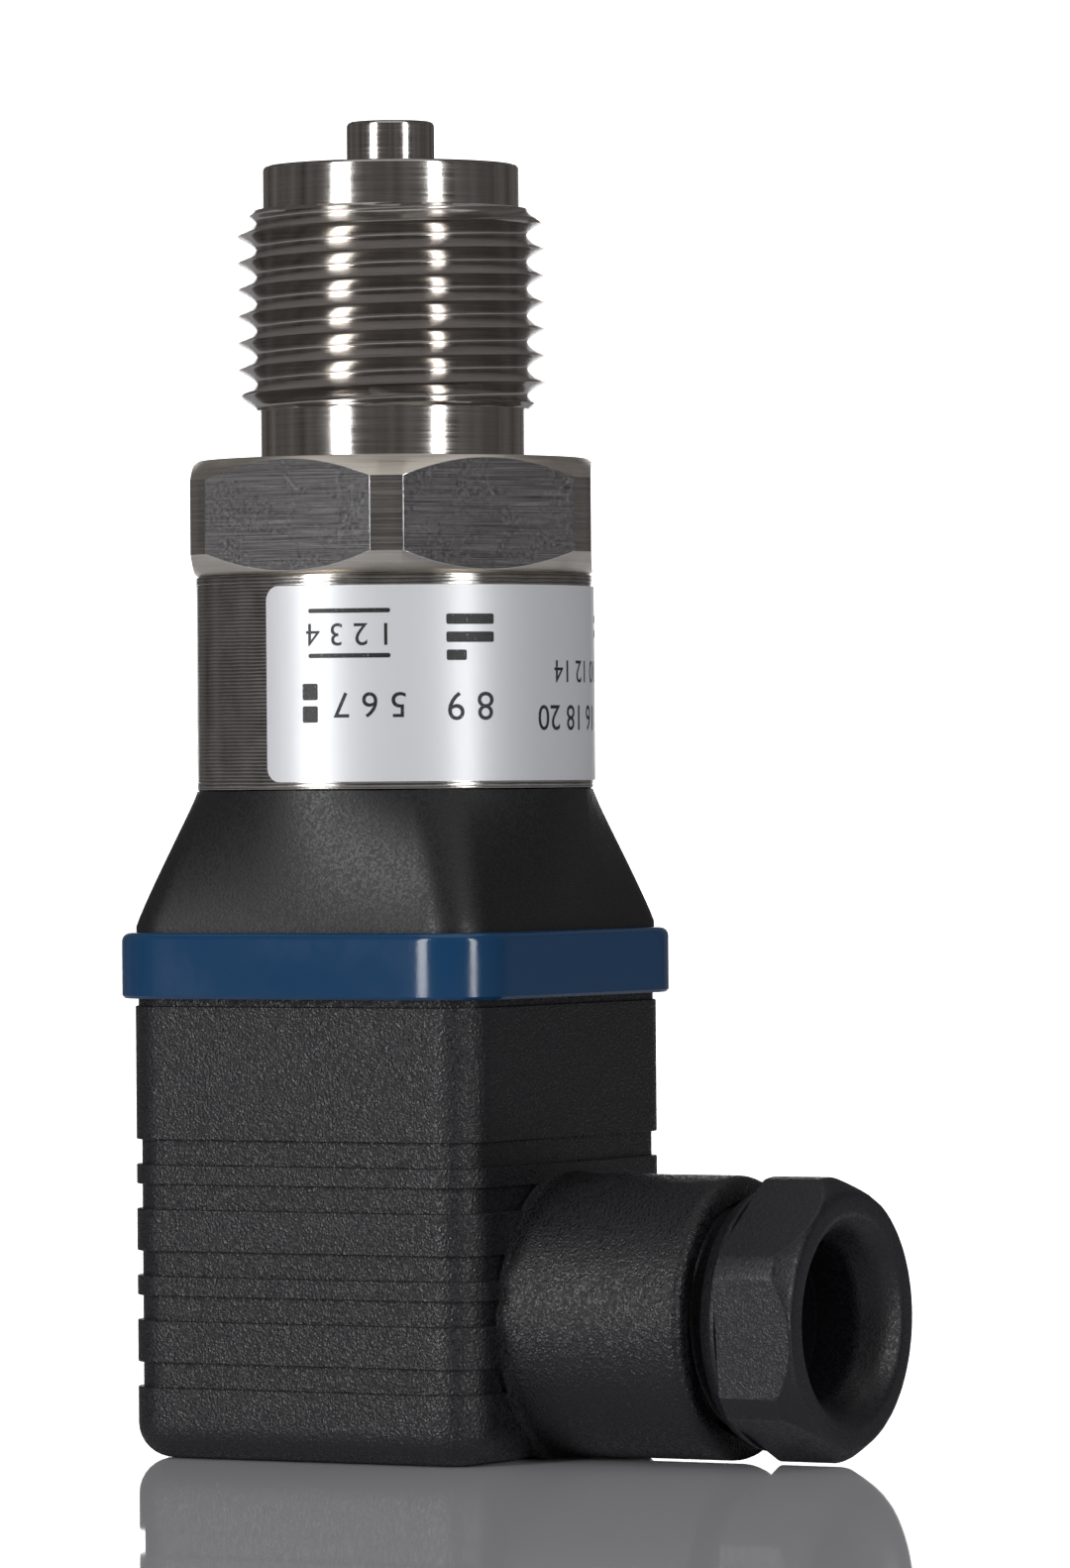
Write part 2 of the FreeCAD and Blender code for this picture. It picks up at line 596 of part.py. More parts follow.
def make_socket_housing():
    """Moulded cable socket: open towards the plug base, with grip ribs and a gland boss."""
    body = new_body("socket_housing")
    half = "socket_width / 2"
    block = pad(body, rounded_square(new_sketch(body), half, "socket_corner"), "socket_height")
    ease_edges(body, "Fillet", block, level_edge("0"), "socket_foot_round")
    depths = [("socket_height - rim_height", "rim_height", "rim_step")]
    top = "grip_top"
    for gap in ("grip_narrow", "grip_wide", "grip_narrow", "grip_wide", "0"):
        depths.append((f"{top} - grip_recess", "grip_recess", "grip_depth"))
        top = f"{top} - grip_recess - {gap}"
    for level, height, depth in depths:
        band = rounded_square(new_sketch(body, height=level), f"{half} - {depth}", f"socket_corner - {depth}")
        rounded_square(band, "socket_width", "socket_corner")
        pocket(body, band, height, up=True)

    start = "room_half + socket_wall / 2"
    boss = pad(body, circle(new_sketch(body, "YZ", height=start), "gland_boss", up="gland_height"),
               f"gland_reach - ({start})")
    reach = worth("gland_reach")
    ease_edges(body, "Chamfer", boss, lambda edge: edge.BoundBox.XMin > reach - 1e-3, "gland_boss_bevel")
    room = rounded_square(new_sketch(body, height="socket_floor"), "room_half", "socket_corner - socket_wall")
    pocket(body, room, "socket_height - socket_floor", up=True)
    pad(body, circle(new_sketch(body, height="socket_floor / 2"), "centre_boss"),
        "centre_boss_top - socket_floor / 2")
    pocket(body, circle(new_sketch(body), "screw_recess"), "screw_recess_depth", up=True)
    pocket(body, circle(new_sketch(body), "screw_hole"), "centre_boss_top", up=True)
    bore = circle(new_sketch(body, "YZ", height="gland_reach"), "gland_thread + 2 * running_gap",
                  up="gland_height")
    pocket(body, bore, "gland_thread_depth")
    throat = circle(new_sketch(body, "YZ", height="boss_bore_foot"), "gland_throat", up="gland_height")
    pocket(body, throat, "boss_bore_foot - centre_boss / 2")


def make_contact_carrier():
    """Block in the socket that holds four contacts and stands on the screw boss by its sleeve."""
    body = new_body("contact_carrier")
    pad(body, rounded_square(new_sketch(body), "room_half - carrier_gap", "carrier_corner"),
        "carrier_height")
    pad(body, circle(new_sketch(body), "carrier_sleeve"), "carrier_foot - centre_boss_top", down=True)
    under = new_sketch(body, height="centre_boss_top - carrier_foot")
    pocket(body, circle(under, "screw_hole"), "socket_height - centre_boss_top", up=True)
    near = "terminal_offset - terminal_depth / 2 - moulded_gap"
    far = "terminal_offset + terminal_depth / 2 + moulded_gap"
    made = new_sketch(body)
    room = pocket(body, box_outline(made, (near, "-1 * (cavity_half)"), (far, "cavity_half")),
                  "contact_top", up=True)
    repeat_round(body, [room], made, 4)
    made = blade_slot(new_sketch(body, height="contact_top"), "blade_width", "slot_gap")
    repeat_round(body, [pocket(body, made, "carrier_roof", up=True)], made, 4)
    place(body, ("0", "0", "carrier_foot"))


def make_socket_contacts():
    """A forked end that grips a blade, on a terminal block with a wire hole."""
    for node, turn in (("socket_contact_1", 0), ("socket_contact_2", 180),
                       ("socket_contact_3", 90), ("earth_contact", 270)):
        body = new_body(node)
        wide, block = "contact_width / 2", "terminal_width / 2"
        near, far = "terminal_offset - terminal_depth / 2", "terminal_offset + terminal_depth / 2"
        made = box_outline(new_sketch(body), (near, "-1 * " + block), (far, block))
        pad(body, made, "terminal_height")
        out = "(contact_depth / 2)"
        made = box_outline(new_sketch(body, height="terminal_height"),
                           ("blade_offset - " + out, "-1 * " + wide), ("blade_offset + " + out, wide))
        pad(body, made, "fork_length")
        fork = new_sketch(body, height="terminal_height + fork_floor")
        pocket(body, blade_slot(fork, "blade_width", "moulded_gap"), "fork_length", up=True)
        hole = circle(new_sketch(body, "YZ"), "wire_hole", up="terminal_height - wire_hole / 2 - fork_floor")
        pocket(body, hole, far, up=True)
        hole = circle(new_sketch(body), "terminal_screw + 2 * running_gap", across="terminal_offset")
        pocket(body, hole, "terminal_screw_length", up=True)
        place(body, ("0", "0", "carrier_foot + contact_top - contact_length"), turn=str(turn))

    body = new_body("terminal_screws")
    made = circle(new_sketch(body), "terminal_head", across="terminal_offset")
    head = pad(body, made, "terminal_head_height")
    upper = circle(new_sketch(body, height="terminal_head_height"), "terminal_screw",
                   across="terminal_offset")
    shank = pad(body, upper, "terminal_screw_length")
    slot = box_outline(new_sketch(body), ("terminal_offset - terminal_head", "-1 * screw_slot / 2"),
                       ("terminal_offset + terminal_head", "screw_slot / 2"))
    slot = pocket(body, slot, "terminal_head_height / 2", up=True)
    repeat_round(body, [head, shank, slot], made, 4)
    place(body, ("0", "0", "carrier_foot + contact_top - contact_length - terminal_head_height"))


def make_gland():
    """Along +X from the boss: a rubber bush, a slip washer and the hollow hexagon nut."""
    axis = ("0", "gland_height")
    body = new_body("gland_bush")
    hole = "bush_bore / 2"
    flare = hole + " + bush_edge"
    turned(body, [
        (flare, "0"), ("bush_half", "0"), ("bush_half", "bush_length"), (flare, "bush_length"),
        (hole, "bush_length - bush_edge"), (hole, "bush_edge")])
    place(body, ("boss_bore_foot", *axis), turn="90", axis=(0, 1, 0))

    body = new_body("gland_washer")
    ring(body, "2 * bush_half", "washer_bore", "washer_thickness")
    place(body, ("washer_foot", *axis), turn="90", axis=(0, 1, 0))

    body = new_body("gland_nut")
    bore, mouth, shank = "nut_bore / 2", "nut_mouth / 2", "gland_thread / 2"
    collar, corner = "nut_collar_diameter / 2", "nut_corner"
    turned(body, [
        (bore, "0"), (shank, "0"), (shank, "nut_shank"), (collar, "nut_shank"),
        (collar, "nut_hex_foot"), (corner, "nut_hex_foot"), (corner, "nut_hex_top"),
        (corner + " - nut_cone_depth", "nut_front"), (mouth, "nut_front"),
        (f"({mouth} + {bore}) / 2 - nut_funnel / 12", "nut_front - nut_funnel / 3"),
        (bore, "nut_front - nut_funnel")])
    flats = circle(hexagon(new_sketch(body, height="nut_hex_foot"), "nut_hex_flats"), "2 * nut_hex_flats")
    pocket(body, flats, "nut_hex + nut_cone", up=True)
    body.Placement = FreeCAD.Placement(
        FreeCAD.Vector(), FreeCAD.Rotation(FreeCAD.Vector(0, 1, 0), 90)
        * FreeCAD.Rotation(FreeCAD.Vector(0, 0, 1), worth("nut_turn")))
    for letter, text in zip("xyz", ("nut_foot", *axis)):
        body.setExpression("Placement.Base." + letter, formula(text))


def make_fixing_screw():
    """Slotted cheese-head screw through the whole socket into the brass nut, with its seal."""
    body = new_body("screw_seal")
    ring(body, "screw_head", "screw_hole", "seal_thickness")
    place(body, ("0", "0", "seal_foot"))

    body = new_body("fixing_screw")
    head, shank = "screw_head / 2", "screw_diameter / 2"
    turned(body, [("0", "0"), (head, "0"), (head, "screw_head_height"), (shank, "screw_head_height"),
                  (shank, "screw_head_height + screw_shank"), ("0", "screw_head_height + screw_shank")])
    slot = box_outline(new_sketch(body), ("-1 * screw_head", "-1 * screw_slot / 2"),
                       ("screw_head", "screw_slot / 2"))
    pocket(body, slot, "screw_slot_depth", up=True)
    place(body, ("0", "0", "seal_foot - screw_head_height"))


def check_document():
    doc.recompute()
    for thing in doc.Objects:
        if "Invalid" in thing.State or "Error" in thing.State:
            raise ValueError(f"{thing.Name} failed: {thing.State}")
    for node, thing in subparts.items():
        if thing.Shape.isNull() or not thing.Shape.isValid():
            raise ValueError(node + " has no valid shape")


def write_parts():
    os.makedirs("parts", exist_ok=True)
    for node, thing in subparts.items():
        thing.Shape.exportStep(f"parts/{node}.step")
        print(f"{node:18s} solids {len(thing.Shape.Solids)}  volume {thing.Shape.Volume:10.3f}")


fill_sheet()
make_process_port()
make_sensor()
make_tube_and_label()
make_board()
make_plug_base()
make_blades()
make_gasket()
make_socket_housing()
make_contact_carrier()
make_socket_contacts()
make_gland()
make_fixing_screw()
check_document()
write_parts()
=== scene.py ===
"""Pressure transmitter standing on its angled cable socket: the dressed model, its light and its camera."""
import math

import bmesh
import bpy
from mathutils import Matrix, Quaternion, Vector


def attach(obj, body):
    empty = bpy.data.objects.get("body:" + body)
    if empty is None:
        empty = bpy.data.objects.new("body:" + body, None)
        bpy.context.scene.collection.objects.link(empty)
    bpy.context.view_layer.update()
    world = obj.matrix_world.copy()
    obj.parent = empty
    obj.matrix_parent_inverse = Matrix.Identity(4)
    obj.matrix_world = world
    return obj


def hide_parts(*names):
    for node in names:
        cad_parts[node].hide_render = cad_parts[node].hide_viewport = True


MM = 0.001
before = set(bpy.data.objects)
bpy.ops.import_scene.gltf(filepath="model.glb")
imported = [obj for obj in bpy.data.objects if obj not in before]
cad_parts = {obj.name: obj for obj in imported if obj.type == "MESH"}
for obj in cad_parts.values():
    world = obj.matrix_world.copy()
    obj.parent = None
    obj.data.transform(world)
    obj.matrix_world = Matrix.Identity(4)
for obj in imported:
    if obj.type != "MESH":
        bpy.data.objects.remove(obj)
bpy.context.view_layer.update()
scene = bpy.context.scene

# The instrument's levels and sizes in millimetres, as the solid model has them
TUBE_RADIUS, TUBE_FOOT, HEX_FOOT, HEX_TOP = 13.5, 45.0, 59.4, 67.3
THREAD_FOOT, THREAD_TOP, THREAD_RADIUS, THREAD_PITCH = 70.7, 84.3, 10.4775, 1.814
NOSE_TOP, PIN_TOP = 87.3, 90.3
LABEL_BACK, LABEL_FRONT, LABEL_LOW, LABEL_HIGH = 13.52, 13.6, 45.5, 58.6
SOCKET_HALF, SOCKET_TOP, GASKET_TOP, BASE_FACE = 13.7, 31.0, 35.45, 32.5
GLAND_HEIGHT = 9.6


# ---------------------------------------------------------------- making meshes

def finish_mesh(name, bm, materials, sharp=32.0, place=None):
    """Closes the mesh's normals outward, shades it smooth up to an angle and makes it an object.

    The many-sided faces, which are flats and ends, stay flat, so that their softened edges don't tilt them.
    """
    bmesh.ops.recalc_face_normals(bm, faces=bm.faces)
    mesh = bpy.data.meshes.new(name)
    if place is not None:
        bm.transform(place)
    bm.to_mesh(mesh)
    bm.free()
    for face in mesh.polygons:
        face.use_smooth = True
    mesh.set_sharp_from_angle(angle=math.radians(sharp))
    for face in mesh.polygons:
        face.use_smooth = len(face.vertices) <= 6
    for material in materials:
        mesh.materials.append(material)
    made = bpy.data.objects.new(name, mesh)
    scene.collection.objects.link(made)
    return made


def soft_profile(corners, steps=4):
    """Turns corners (radius, height[, rounding]) into points, with an arc of steps at each rounding."""
    points = []
    for index, corner in enumerate(corners):
        here = Vector(corner[:2])
        if len(corner) < 3:
            points.append(here)
            continue
        before = Vector(corners[index - 1][:2]) - here
        after = Vector(corners[(index + 1) % len(corners)][:2]) - here
        start = here + before.normalized() * corner[2]
        end = here + after.normalized() * corner[2]
        for step in range(steps + 1):
            t = step / steps
            points.append(start * (1 - t) ** 2 + here * 2 * t * (1 - t) + end * t ** 2)
    return points


def spin_closed(bm, points, steps=144):
    """Spins a closed outline of (radius, height) in millimetres about Z."""
    corners = [bm.verts.new((radius * MM, 0, height * MM)) for radius, height in points]
    edges = [bm.edges.new(pair) for pair in zip(corners, corners[1:] + corners[:1])]
    bmesh.ops.spin(bm, geom=corners + edges, cent=(0, 0, 0), axis=(0, 0, 1), angle=math.tau,
                   steps=steps, use_merge=True)
    bmesh.ops.remove_doubles(bm, verts=bm.verts, dist=1e-7)


def cut_flats(bm, distance, first_angle, material):
    """Mills six flats at a distance from the axis; the new faces take the material."""
    for side in range(6):
        angle = math.radians(first_angle + 60 * side)
        out = Vector((math.cos(angle), math.sin(angle), 0))
        geometry = bm.verts[:] + bm.edges[:] + bm.faces[:]
        cut = bmesh.ops.bisect_plane(bm, geom=geometry, dist=1e-8, plane_co=out * distance * MM,
                                     plane_no=out, clear_outer=True)
        rim = [item for item in cut["geom_cut"] if isinstance(item, bmesh.types.BMEdge)]
        for face in bmesh.ops.edgeloop_fill(bm, edges=rim)["faces"]:
            face.material_index = material


def rounded_square(half, corner, height, arc=18, side=6):
    """Points round a square with rounded corners, the same count for every size."""
    points = []
    flat = half - corner
    for quarter in range(4):
        turn = Matrix.Rotation(math.pi / 2 * quarter, 3, "Z")
        for step in range(side):
            # The first and last steps are short, so that the corner's shading stays out of the flat side
            share = {0: 0.0, 1: 0.03, side - 1: 0.97}.get(step, step / side)
            points.append(turn @ Vector((half, -flat + 2 * flat * share, height)))
        for step in range(arc):
            angle = math.pi / 2 * step / arc
            points.append(turn @ Vector((flat + corner * math.cos(angle),
                                         flat + corner * math.sin(angle), height)))
    return [point * MM for point in points]


def ring_stack(bm, rings, closed=False):
    """Extrudes one ring of points after another; the ends are capped, or joined if closed."""
    order = bm.verts.layers.int.new("order")
    ring = []
    for number, point in enumerate(rings[0]):
        vert = bm.verts.new(point)
        vert[order] = number
        ring.append(vert)
    edges = [bm.edges.new(pair) for pair in zip(ring, ring[1:] + ring[:1])]
    first_edges = edges
    if not closed:
        bmesh.ops.contextual_create(bm, geom=edges)
    for points in rings[1:]:
        grown = bmesh.ops.extrude_edge_only(bm, edges=edges)["geom"]
        edges = [item for item in grown if isinstance(item, bmesh.types.BMEdge)]
        for item in grown:
            if isinstance(item, bmesh.types.BMVert):
                item.co = points[item[order]]
    if closed:
        bmesh.ops.bridge_loops(bm, edges=first_edges + edges)
    else:
        bmesh.ops.contextual_create(bm, geom=edges)


def helix_solid(bm, low, high, crest, pitch, depth, hollow, phase, chamfers, per_turn=96):
    """A threaded bar about Z between two levels: one tooth is spun upward and the turns are sewn together.

    hollow curves the flanks, from 1 for straight ones to 2 for a fully round root, phase is the height of
    a crest at azimuth 0, and chamfers are the depths left at the two ends.
    """
    samples = 16
    root = crest - depth
    start = low - pitch * 1.5
    start += (phase - start) % pitch
    tooth = []
    for step in range(samples + 1):
        across = step / samples * 2 - 1
        rise = min(max(1 - abs(across), 0) ** hollow * 1.06, 1.0)
        tooth.append(bm.verts.new(((root + depth * rise) * MM, 0, (start + across * pitch / 2) * MM)))
    edges = [bm.edges.new(pair) for pair in zip(tooth, tooth[1:])]
    turns = math.ceil((high - start) / pitch) + 1
    bmesh.ops.spin(bm, geom=tooth + edges, cent=(0, 0, 0), axis=(0, 0, 1), angle=math.tau * turns,
                   steps=per_turn * turns, dvec=(0, 0, pitch * MM / per_turn))
    bmesh.ops.remove_doubles(bm, verts=bm.verts, dist=2e-6)
    for vert in bm.verts:
        radius = math.hypot(vert.co.x, vert.co.y)
        height = vert.co.z / MM
        limit = min(crest - chamfers[0] + height - low, crest - chamfers[1] + high - height, crest) * MM
        limit = max(limit, (crest - max(chamfers)) * MM)
        if radius > limit:
            vert.co.x *= limit / radius
            vert.co.y *= limit / radius
    for level, facing in ((low, -1), (high, 1)):
        geometry = bm.verts[:] + bm.edges[:] + bm.faces[:]
        cut = bmesh.ops.bisect_plane(bm, geom=geometry, dist=1e-8, plane_co=(0, 0, level * MM),
                                     plane_no=(0, 0, facing), clear_outer=True)
        rim = [item for item in cut["geom_cut"] if isinstance(item, bmesh.types.BMEdge)]
        bmesh.ops.edgeloop_fill(bm, edges=rim)


def combined(made, tool, operation):
    """Applies a boolean with a tool object, and removes the tool."""
    modifier = made.modifiers.new("cut", "BOOLEAN")
    modifier.operation = operation
    modifier.solver = "EXACT"
    modifier.object = tool
    bpy.context.view_layer.update()
    result = bpy.data.meshes.new_from_object(made.evaluated_get(bpy.context.evaluated_depsgraph_get()))
    made.modifiers.remove(modifier)
    made.data = result
    bpy.data.objects.remove(tool)


def wrap_flat(bm, back, front, along, height, flip=False):
    """Wraps flat faces, X across and Z up in millimetres, round the tube as a thin plate between two radii.

    along is degrees from +X to the middle, and flip turns the print head down.
    """
    if flip:
        bmesh.ops.rotate(bm, verts=bm.verts, matrix=Matrix.Rotation(math.pi, 3, "Y"))
    low, high = min(vert.co.x for vert in bm.verts), max(vert.co.x for vert in bm.verts)
    slices = max(1, round((high - low) / 0.35))
    for number in range(1, slices):
        place = low + (high - low) * number / slices
        bmesh.ops.bisect_plane(bm, geom=bm.verts[:] + bm.edges[:] + bm.faces[:], dist=1e-6,
                               plane_co=(place, 0, 0), plane_no=(1, 0, 0))
    grown = bmesh.ops.extrude_face_region(bm, geom=bm.faces[:])["geom"]
    for item in grown:
        if isinstance(item, bmesh.types.BMVert):
            item.co.y += front - back
    for vert in bm.verts:
        angle = math.radians(along) + vert.co.x / TUBE_RADIUS
        out = back + vert.co.y
        vert.co = Vector((out * math.cos(angle), out * math.sin(angle), height + vert.co.z)) * MM


def gathered(bm, part):
    """Moves the faces of one mesh under construction into another."""
    mesh = bpy.data.meshes.new("part")
    part.to_mesh(mesh)
    part.free()
    bm.from_mesh(mesh)
    bpy.data.meshes.remove(mesh)


# ---------------------------------------------------------------- materials

def colour(code):
    """A hexadecimal sRGB colour as the linear colour that shaders take."""
    channels = [int(code[place:place + 2], 16) / 255 for place in (0, 2, 4)]
    linear = [c / 12.92 if c <= 0.04045 else ((c + 0.055) / 1.055) ** 2.4 for c in channels]
    return (*linear, 1.0)


def add(tree, kind, sockets=None, **settings):
    """Adds a node with its settings; each socket gets a value or another node's output."""
    made = tree.nodes.new("ShaderNode" + kind)
    for name, value in settings.items():
        setattr(made, name, value)
    for name, value in (sockets or {}).items():
        if isinstance(value, bpy.types.NodeSocket):
            tree.links.new(value, made.inputs[name])
        else:
            made.inputs[name].default_value = value
    return made


def new_material(name, **constants):
    """A material with its Principled shader; constants are socket values, with _ for a space."""
    material = bpy.data.materials.new(name)
    material.use_nodes = True
    shader = material.node_tree.nodes["Principled BSDF"]
    for socket, value in constants.items():
        shader.inputs[socket.replace("_", " ")].default_value = value
    return material, material.node_tree, shader


def turned_stainless(name, tint, feed, rough, ridge, drift=0.35, painted_mark_shade=0.25):
    """Stainless steel off the lathe: fine rings round the axis catch the softboxes as upright bright
    bands with ragged edges, and slow drifts in the polish break up the dark between them.

    feed is the distance between two tool marks in millimetres, ridge their height, drift the share of the
    roughness that follows the polish and painted_mark_shade how much painted shade darkens the bottom of a
    mark.
    """
    material, tree, shader = new_material(name, Metallic=1.0)
    where = add(tree, "TexCoord").outputs["Object"]
    rings = add(tree, "Mapping", {"Vector": where, "Scale": (110.0, 110.0, 1 / (feed * MM))})
    marks = add(tree, "TexNoise", {"Vector": rings.outputs["Vector"], "Scale": 1.0, "Detail": 3.0,
                                   "Roughness": 0.65}).outputs["Fac"]
    polish = add(tree, "TexNoise", {"Vector": where, "Scale": 240.0, "Detail": 4.0}).outputs["Fac"]
    both = add(tree, "Mix", {"Factor": drift, "A": marks, "B": polish}, data_type="FLOAT")
    spread = add(tree, "MapRange", {"Value": both.outputs["Result"], "From Min": 0.35, "From Max": 0.65,
                                    "To Min": rough[0], "To Max": rough[1]})
    tree.links.new(spread.outputs["Result"], shader.inputs["Roughness"])
    cut = add(tree, "Bump", {"Height": marks, "Strength": 1.0, "Distance": ridge * MM})
    tree.links.new(cut.outputs["Normal"], shader.inputs["Normal"])
    # Painted shade: the bottom of each tool mark is mixed towards a dark brown-grey
    depth = add(tree, "MapRange", {"Value": marks, "From Min": 0.38, "From Max": 0.6,
                                   "To Min": painted_mark_shade, "To Max": 0.0})
    tone = add(tree, "Mix", {"Factor": depth.outputs["Result"],
                              6: colour(tint), 7: colour("3A3633")}, data_type="RGBA").outputs[2]
    tree.links.new(tone, shader.inputs["Base Color"])
    return material


def ribbed_stainless(name, tint, feed, rough, ridge):
    """Tube skimmed with a pointed tool: a regular, record-like ribbing, drawn a little coarser than the
    real 0.15 mm so that it shows, that dulls the steel between two softbox bands; the bottom of each rib
    carries painted shade, and random worn patches are darker too."""
    material, tree, shader = new_material(name, Metallic=1.0)
    where = add(tree, "TexCoord").outputs["Object"]
    # A wave's own period is pi / 10 at scale 1
    rib = add(tree, "TexWave", {"Vector": where, "Scale": math.pi / 10 / (feed * MM), "Distortion": 1.2,
                                "Detail": 2.0, "Detail Scale": 0.3}, bands_direction="Z").outputs["Fac"]
    wear = add(tree, "TexNoise", {"Vector": where, "Scale": 420.0, "Detail": 5.0,
                                  "Roughness": 0.6}).outputs["Fac"]
    # Painted shade in the bottom of each rib, times a random wear tone: the colour is darker where either is
    # low
    depth = add(tree, "Math", {0: rib, 1: wear}, operation="MULTIPLY").outputs["Value"]
    tone = add(tree, "Mix", {"Factor": depth, 6: colour(tint[0]), 7: colour(tint[1])},
               data_type="RGBA").outputs[2]
    tree.links.new(tone, shader.inputs["Base Color"])
    spread = add(tree, "MapRange", {"Value": wear, "From Min": 0.35, "From Max": 0.65,
                                    "To Min": rough[0], "To Max": rough[1]})
    tree.links.new(spread.outputs["Result"], shader.inputs["Roughness"])
    cut = add(tree, "Bump", {"Height": rib, "Strength": 1.0, "Distance": ridge * MM})
    tree.links.new(cut.outputs["Normal"], shader.inputs["Normal"])
    return material


def milled_stainless(name, tint, rough):
    """Spanner flats of drawn bar: long level draw lines and a satin speckle of handling marks, which keep
    them dark grey between the brighter turned faces. Draw lines are about 0.09 mm apart and 7 mm long,
    specks 0.26 mm and handled patches 3 mm wide."""
    material, tree, shader = new_material(name, Metallic=1.0)
    where = add(tree, "TexCoord").outputs["Object"]
    level = add(tree, "Mapping", {"Vector": where, "Rotation": (0.02, 0.03, 0.0),
                                  "Scale": (140.0, 140.0, 11000.0)})
    drawn = add(tree, "TexNoise", {"Vector": level.outputs["Vector"], "Scale": 1.0, "Detail": 4.0,
                                   "Roughness": 0.75}).outputs["Fac"]
    speckle = add(tree, "TexNoise", {"Vector": where, "Scale": 3800.0, "Detail": 3.0,
                                     "Roughness": 0.7}).outputs["Fac"]
    handled = add(tree, "TexNoise", {"Vector": where, "Scale": 300.0, "Detail": 5.0, "Roughness": 0.65,
                                     "Distortion": 0.8}).outputs["Fac"]
    bare = add(tree, "MapRange", {"Value": handled, "From Min": 0.42, "From Max": 0.66})
    marks = add(tree, "Mix", {"Factor": bare.outputs["Result"], "A": drawn, "B": speckle},
                data_type="FLOAT").outputs["Result"]
    shade = add(tree, "MapRange", {"Value": marks, "From Min": 0.33, "From Max": 0.68})
    tone = add(tree, "Mix", {"Factor": shade.outputs["Result"],
                             6: colour(tint[0]), 7: colour(tint[1])}, data_type="RGBA").outputs[2]
    tree.links.new(tone, shader.inputs["Base Color"])
    spread = add(tree, "MapRange", {"Value": marks, "From Min": 0.33, "From Max": 0.68,
                                    "To Min": rough[0], "To Max": rough[1]})
    tree.links.new(spread.outputs["Result"], shader.inputs["Roughness"])
    cuts = add(tree, "Bump", {"Height": marks, "Strength": 1.0, "Distance": 0.0012 * MM})
    tree.links.new(cuts.outputs["Normal"], shader.inputs["Normal"])
    return material


def moulded_polyamide(name, tint, grain, depth, rough):
    """Polyamide from a spark-eroded mould: pits of differing polish turn the softbox into glints, on a deep
    charcoal that stays nearly black where no light is mirrored. The real pits are about 0.08 mm wide, too
    fine to show, so they are drawn about twice as wide.

    grain is the width of one pit in millimetres, depth how deep it is.
    """
    material, tree, shader = new_material(name, Base_Color=colour(tint))
    where = add(tree, "TexCoord").outputs["Object"]
    craters = add(tree, "TexVoronoi", {"Vector": where, "Scale": 1 / (grain * MM)})
    lumps = add(tree, "TexNoise", {"Vector": where, "Scale": 0.6 / (grain * MM), "Detail": 3.0,
                                   "Roughness": 0.6}).outputs["Fac"]
    skin = add(tree, "Math", {0: craters.outputs["Distance"], 1: 0.6, 2: lumps},
               operation="MULTIPLY_ADD").outputs["Value"]
    eroded = add(tree, "Bump", {"Height": skin, "Strength": 1.0, "Distance": depth * MM})
    tree.links.new(eroded.outputs["Normal"], shader.inputs["Normal"])
    gloss = add(tree, "MapRange", {"Value": craters.outputs["Color"], "From Min": 0.25, "From Max": 0.75,
                                   "To Min": rough[0], "To Max": rough[1]})
    tree.links.new(gloss.outputs["Result"], shader.inputs["Roughness"])
    return material


def moulded_rubber(name, tint, grain, depth, rough):
    """Moulded elastomer: soft and even, with the faint orange peel of its mould and a little bloom.

    grain is the width of the peel's lumps in millimetres, depth their height; the bloom comes in patches
    of about 6 mm.
    """
    material, tree, shader = new_material(name, Base_Color=colour(tint))
    where = add(tree, "TexCoord").outputs["Object"]
    peel = add(tree, "TexNoise", {"Vector": where, "Scale": 1 / (grain * MM), "Detail": 3.0}).outputs["Fac"]
    skin = add(tree, "Bump", {"Height": peel, "Strength": 1.0, "Distance": depth * MM})
    tree.links.new(skin.outputs["Normal"], shader.inputs["Normal"])
    bloom = add(tree, "TexNoise", {"Vector": where, "Scale": 160.0, "Detail": 5.0}).outputs["Fac"]
    spread = add(tree, "MapRange", {"Value": bloom, "From Min": 0.35, "From Max": 0.65,
                                    "To Min": rough[0], "To Max": rough[1]})
    tree.links.new(spread.outputs["Result"], shader.inputs["Roughness"])
    return material


def plated_metal(name, tint, rough, grain, depth):
    """Plated or bare bright metal: the fine pebbling of its surface, and patches of duller marks.

    grain is the width of one pebble in millimetres, depth its height; the patches are about 2 mm wide.
    """
    material, tree, shader = new_material(name, Metallic=1.0, Base_Color=colour(tint))
    where = add(tree, "TexCoord").outputs["Object"]
    pebbles = add(tree, "TexNoise", {"Vector": where, "Scale": 1 / (grain * MM),
                                     "Detail": 3.0}).outputs["Fac"]
    deposit = add(tree, "Bump", {"Height": pebbles, "Strength": 1.0, "Distance": depth * MM})
    tree.links.new(deposit.outputs["Normal"], shader.inputs["Normal"])
    patches = add(tree, "TexNoise", {"Vector": where, "Scale": 500.0, "Detail": 4.0}).outputs["Fac"]
    spread = add(tree, "MapRange", {"Value": patches, "From Min": 0.35, "From Max": 0.65,
                                    "To Min": rough[0], "To Max": rough[1]})
    tree.links.new(spread.outputs["Result"], shader.inputs["Roughness"])
    return material


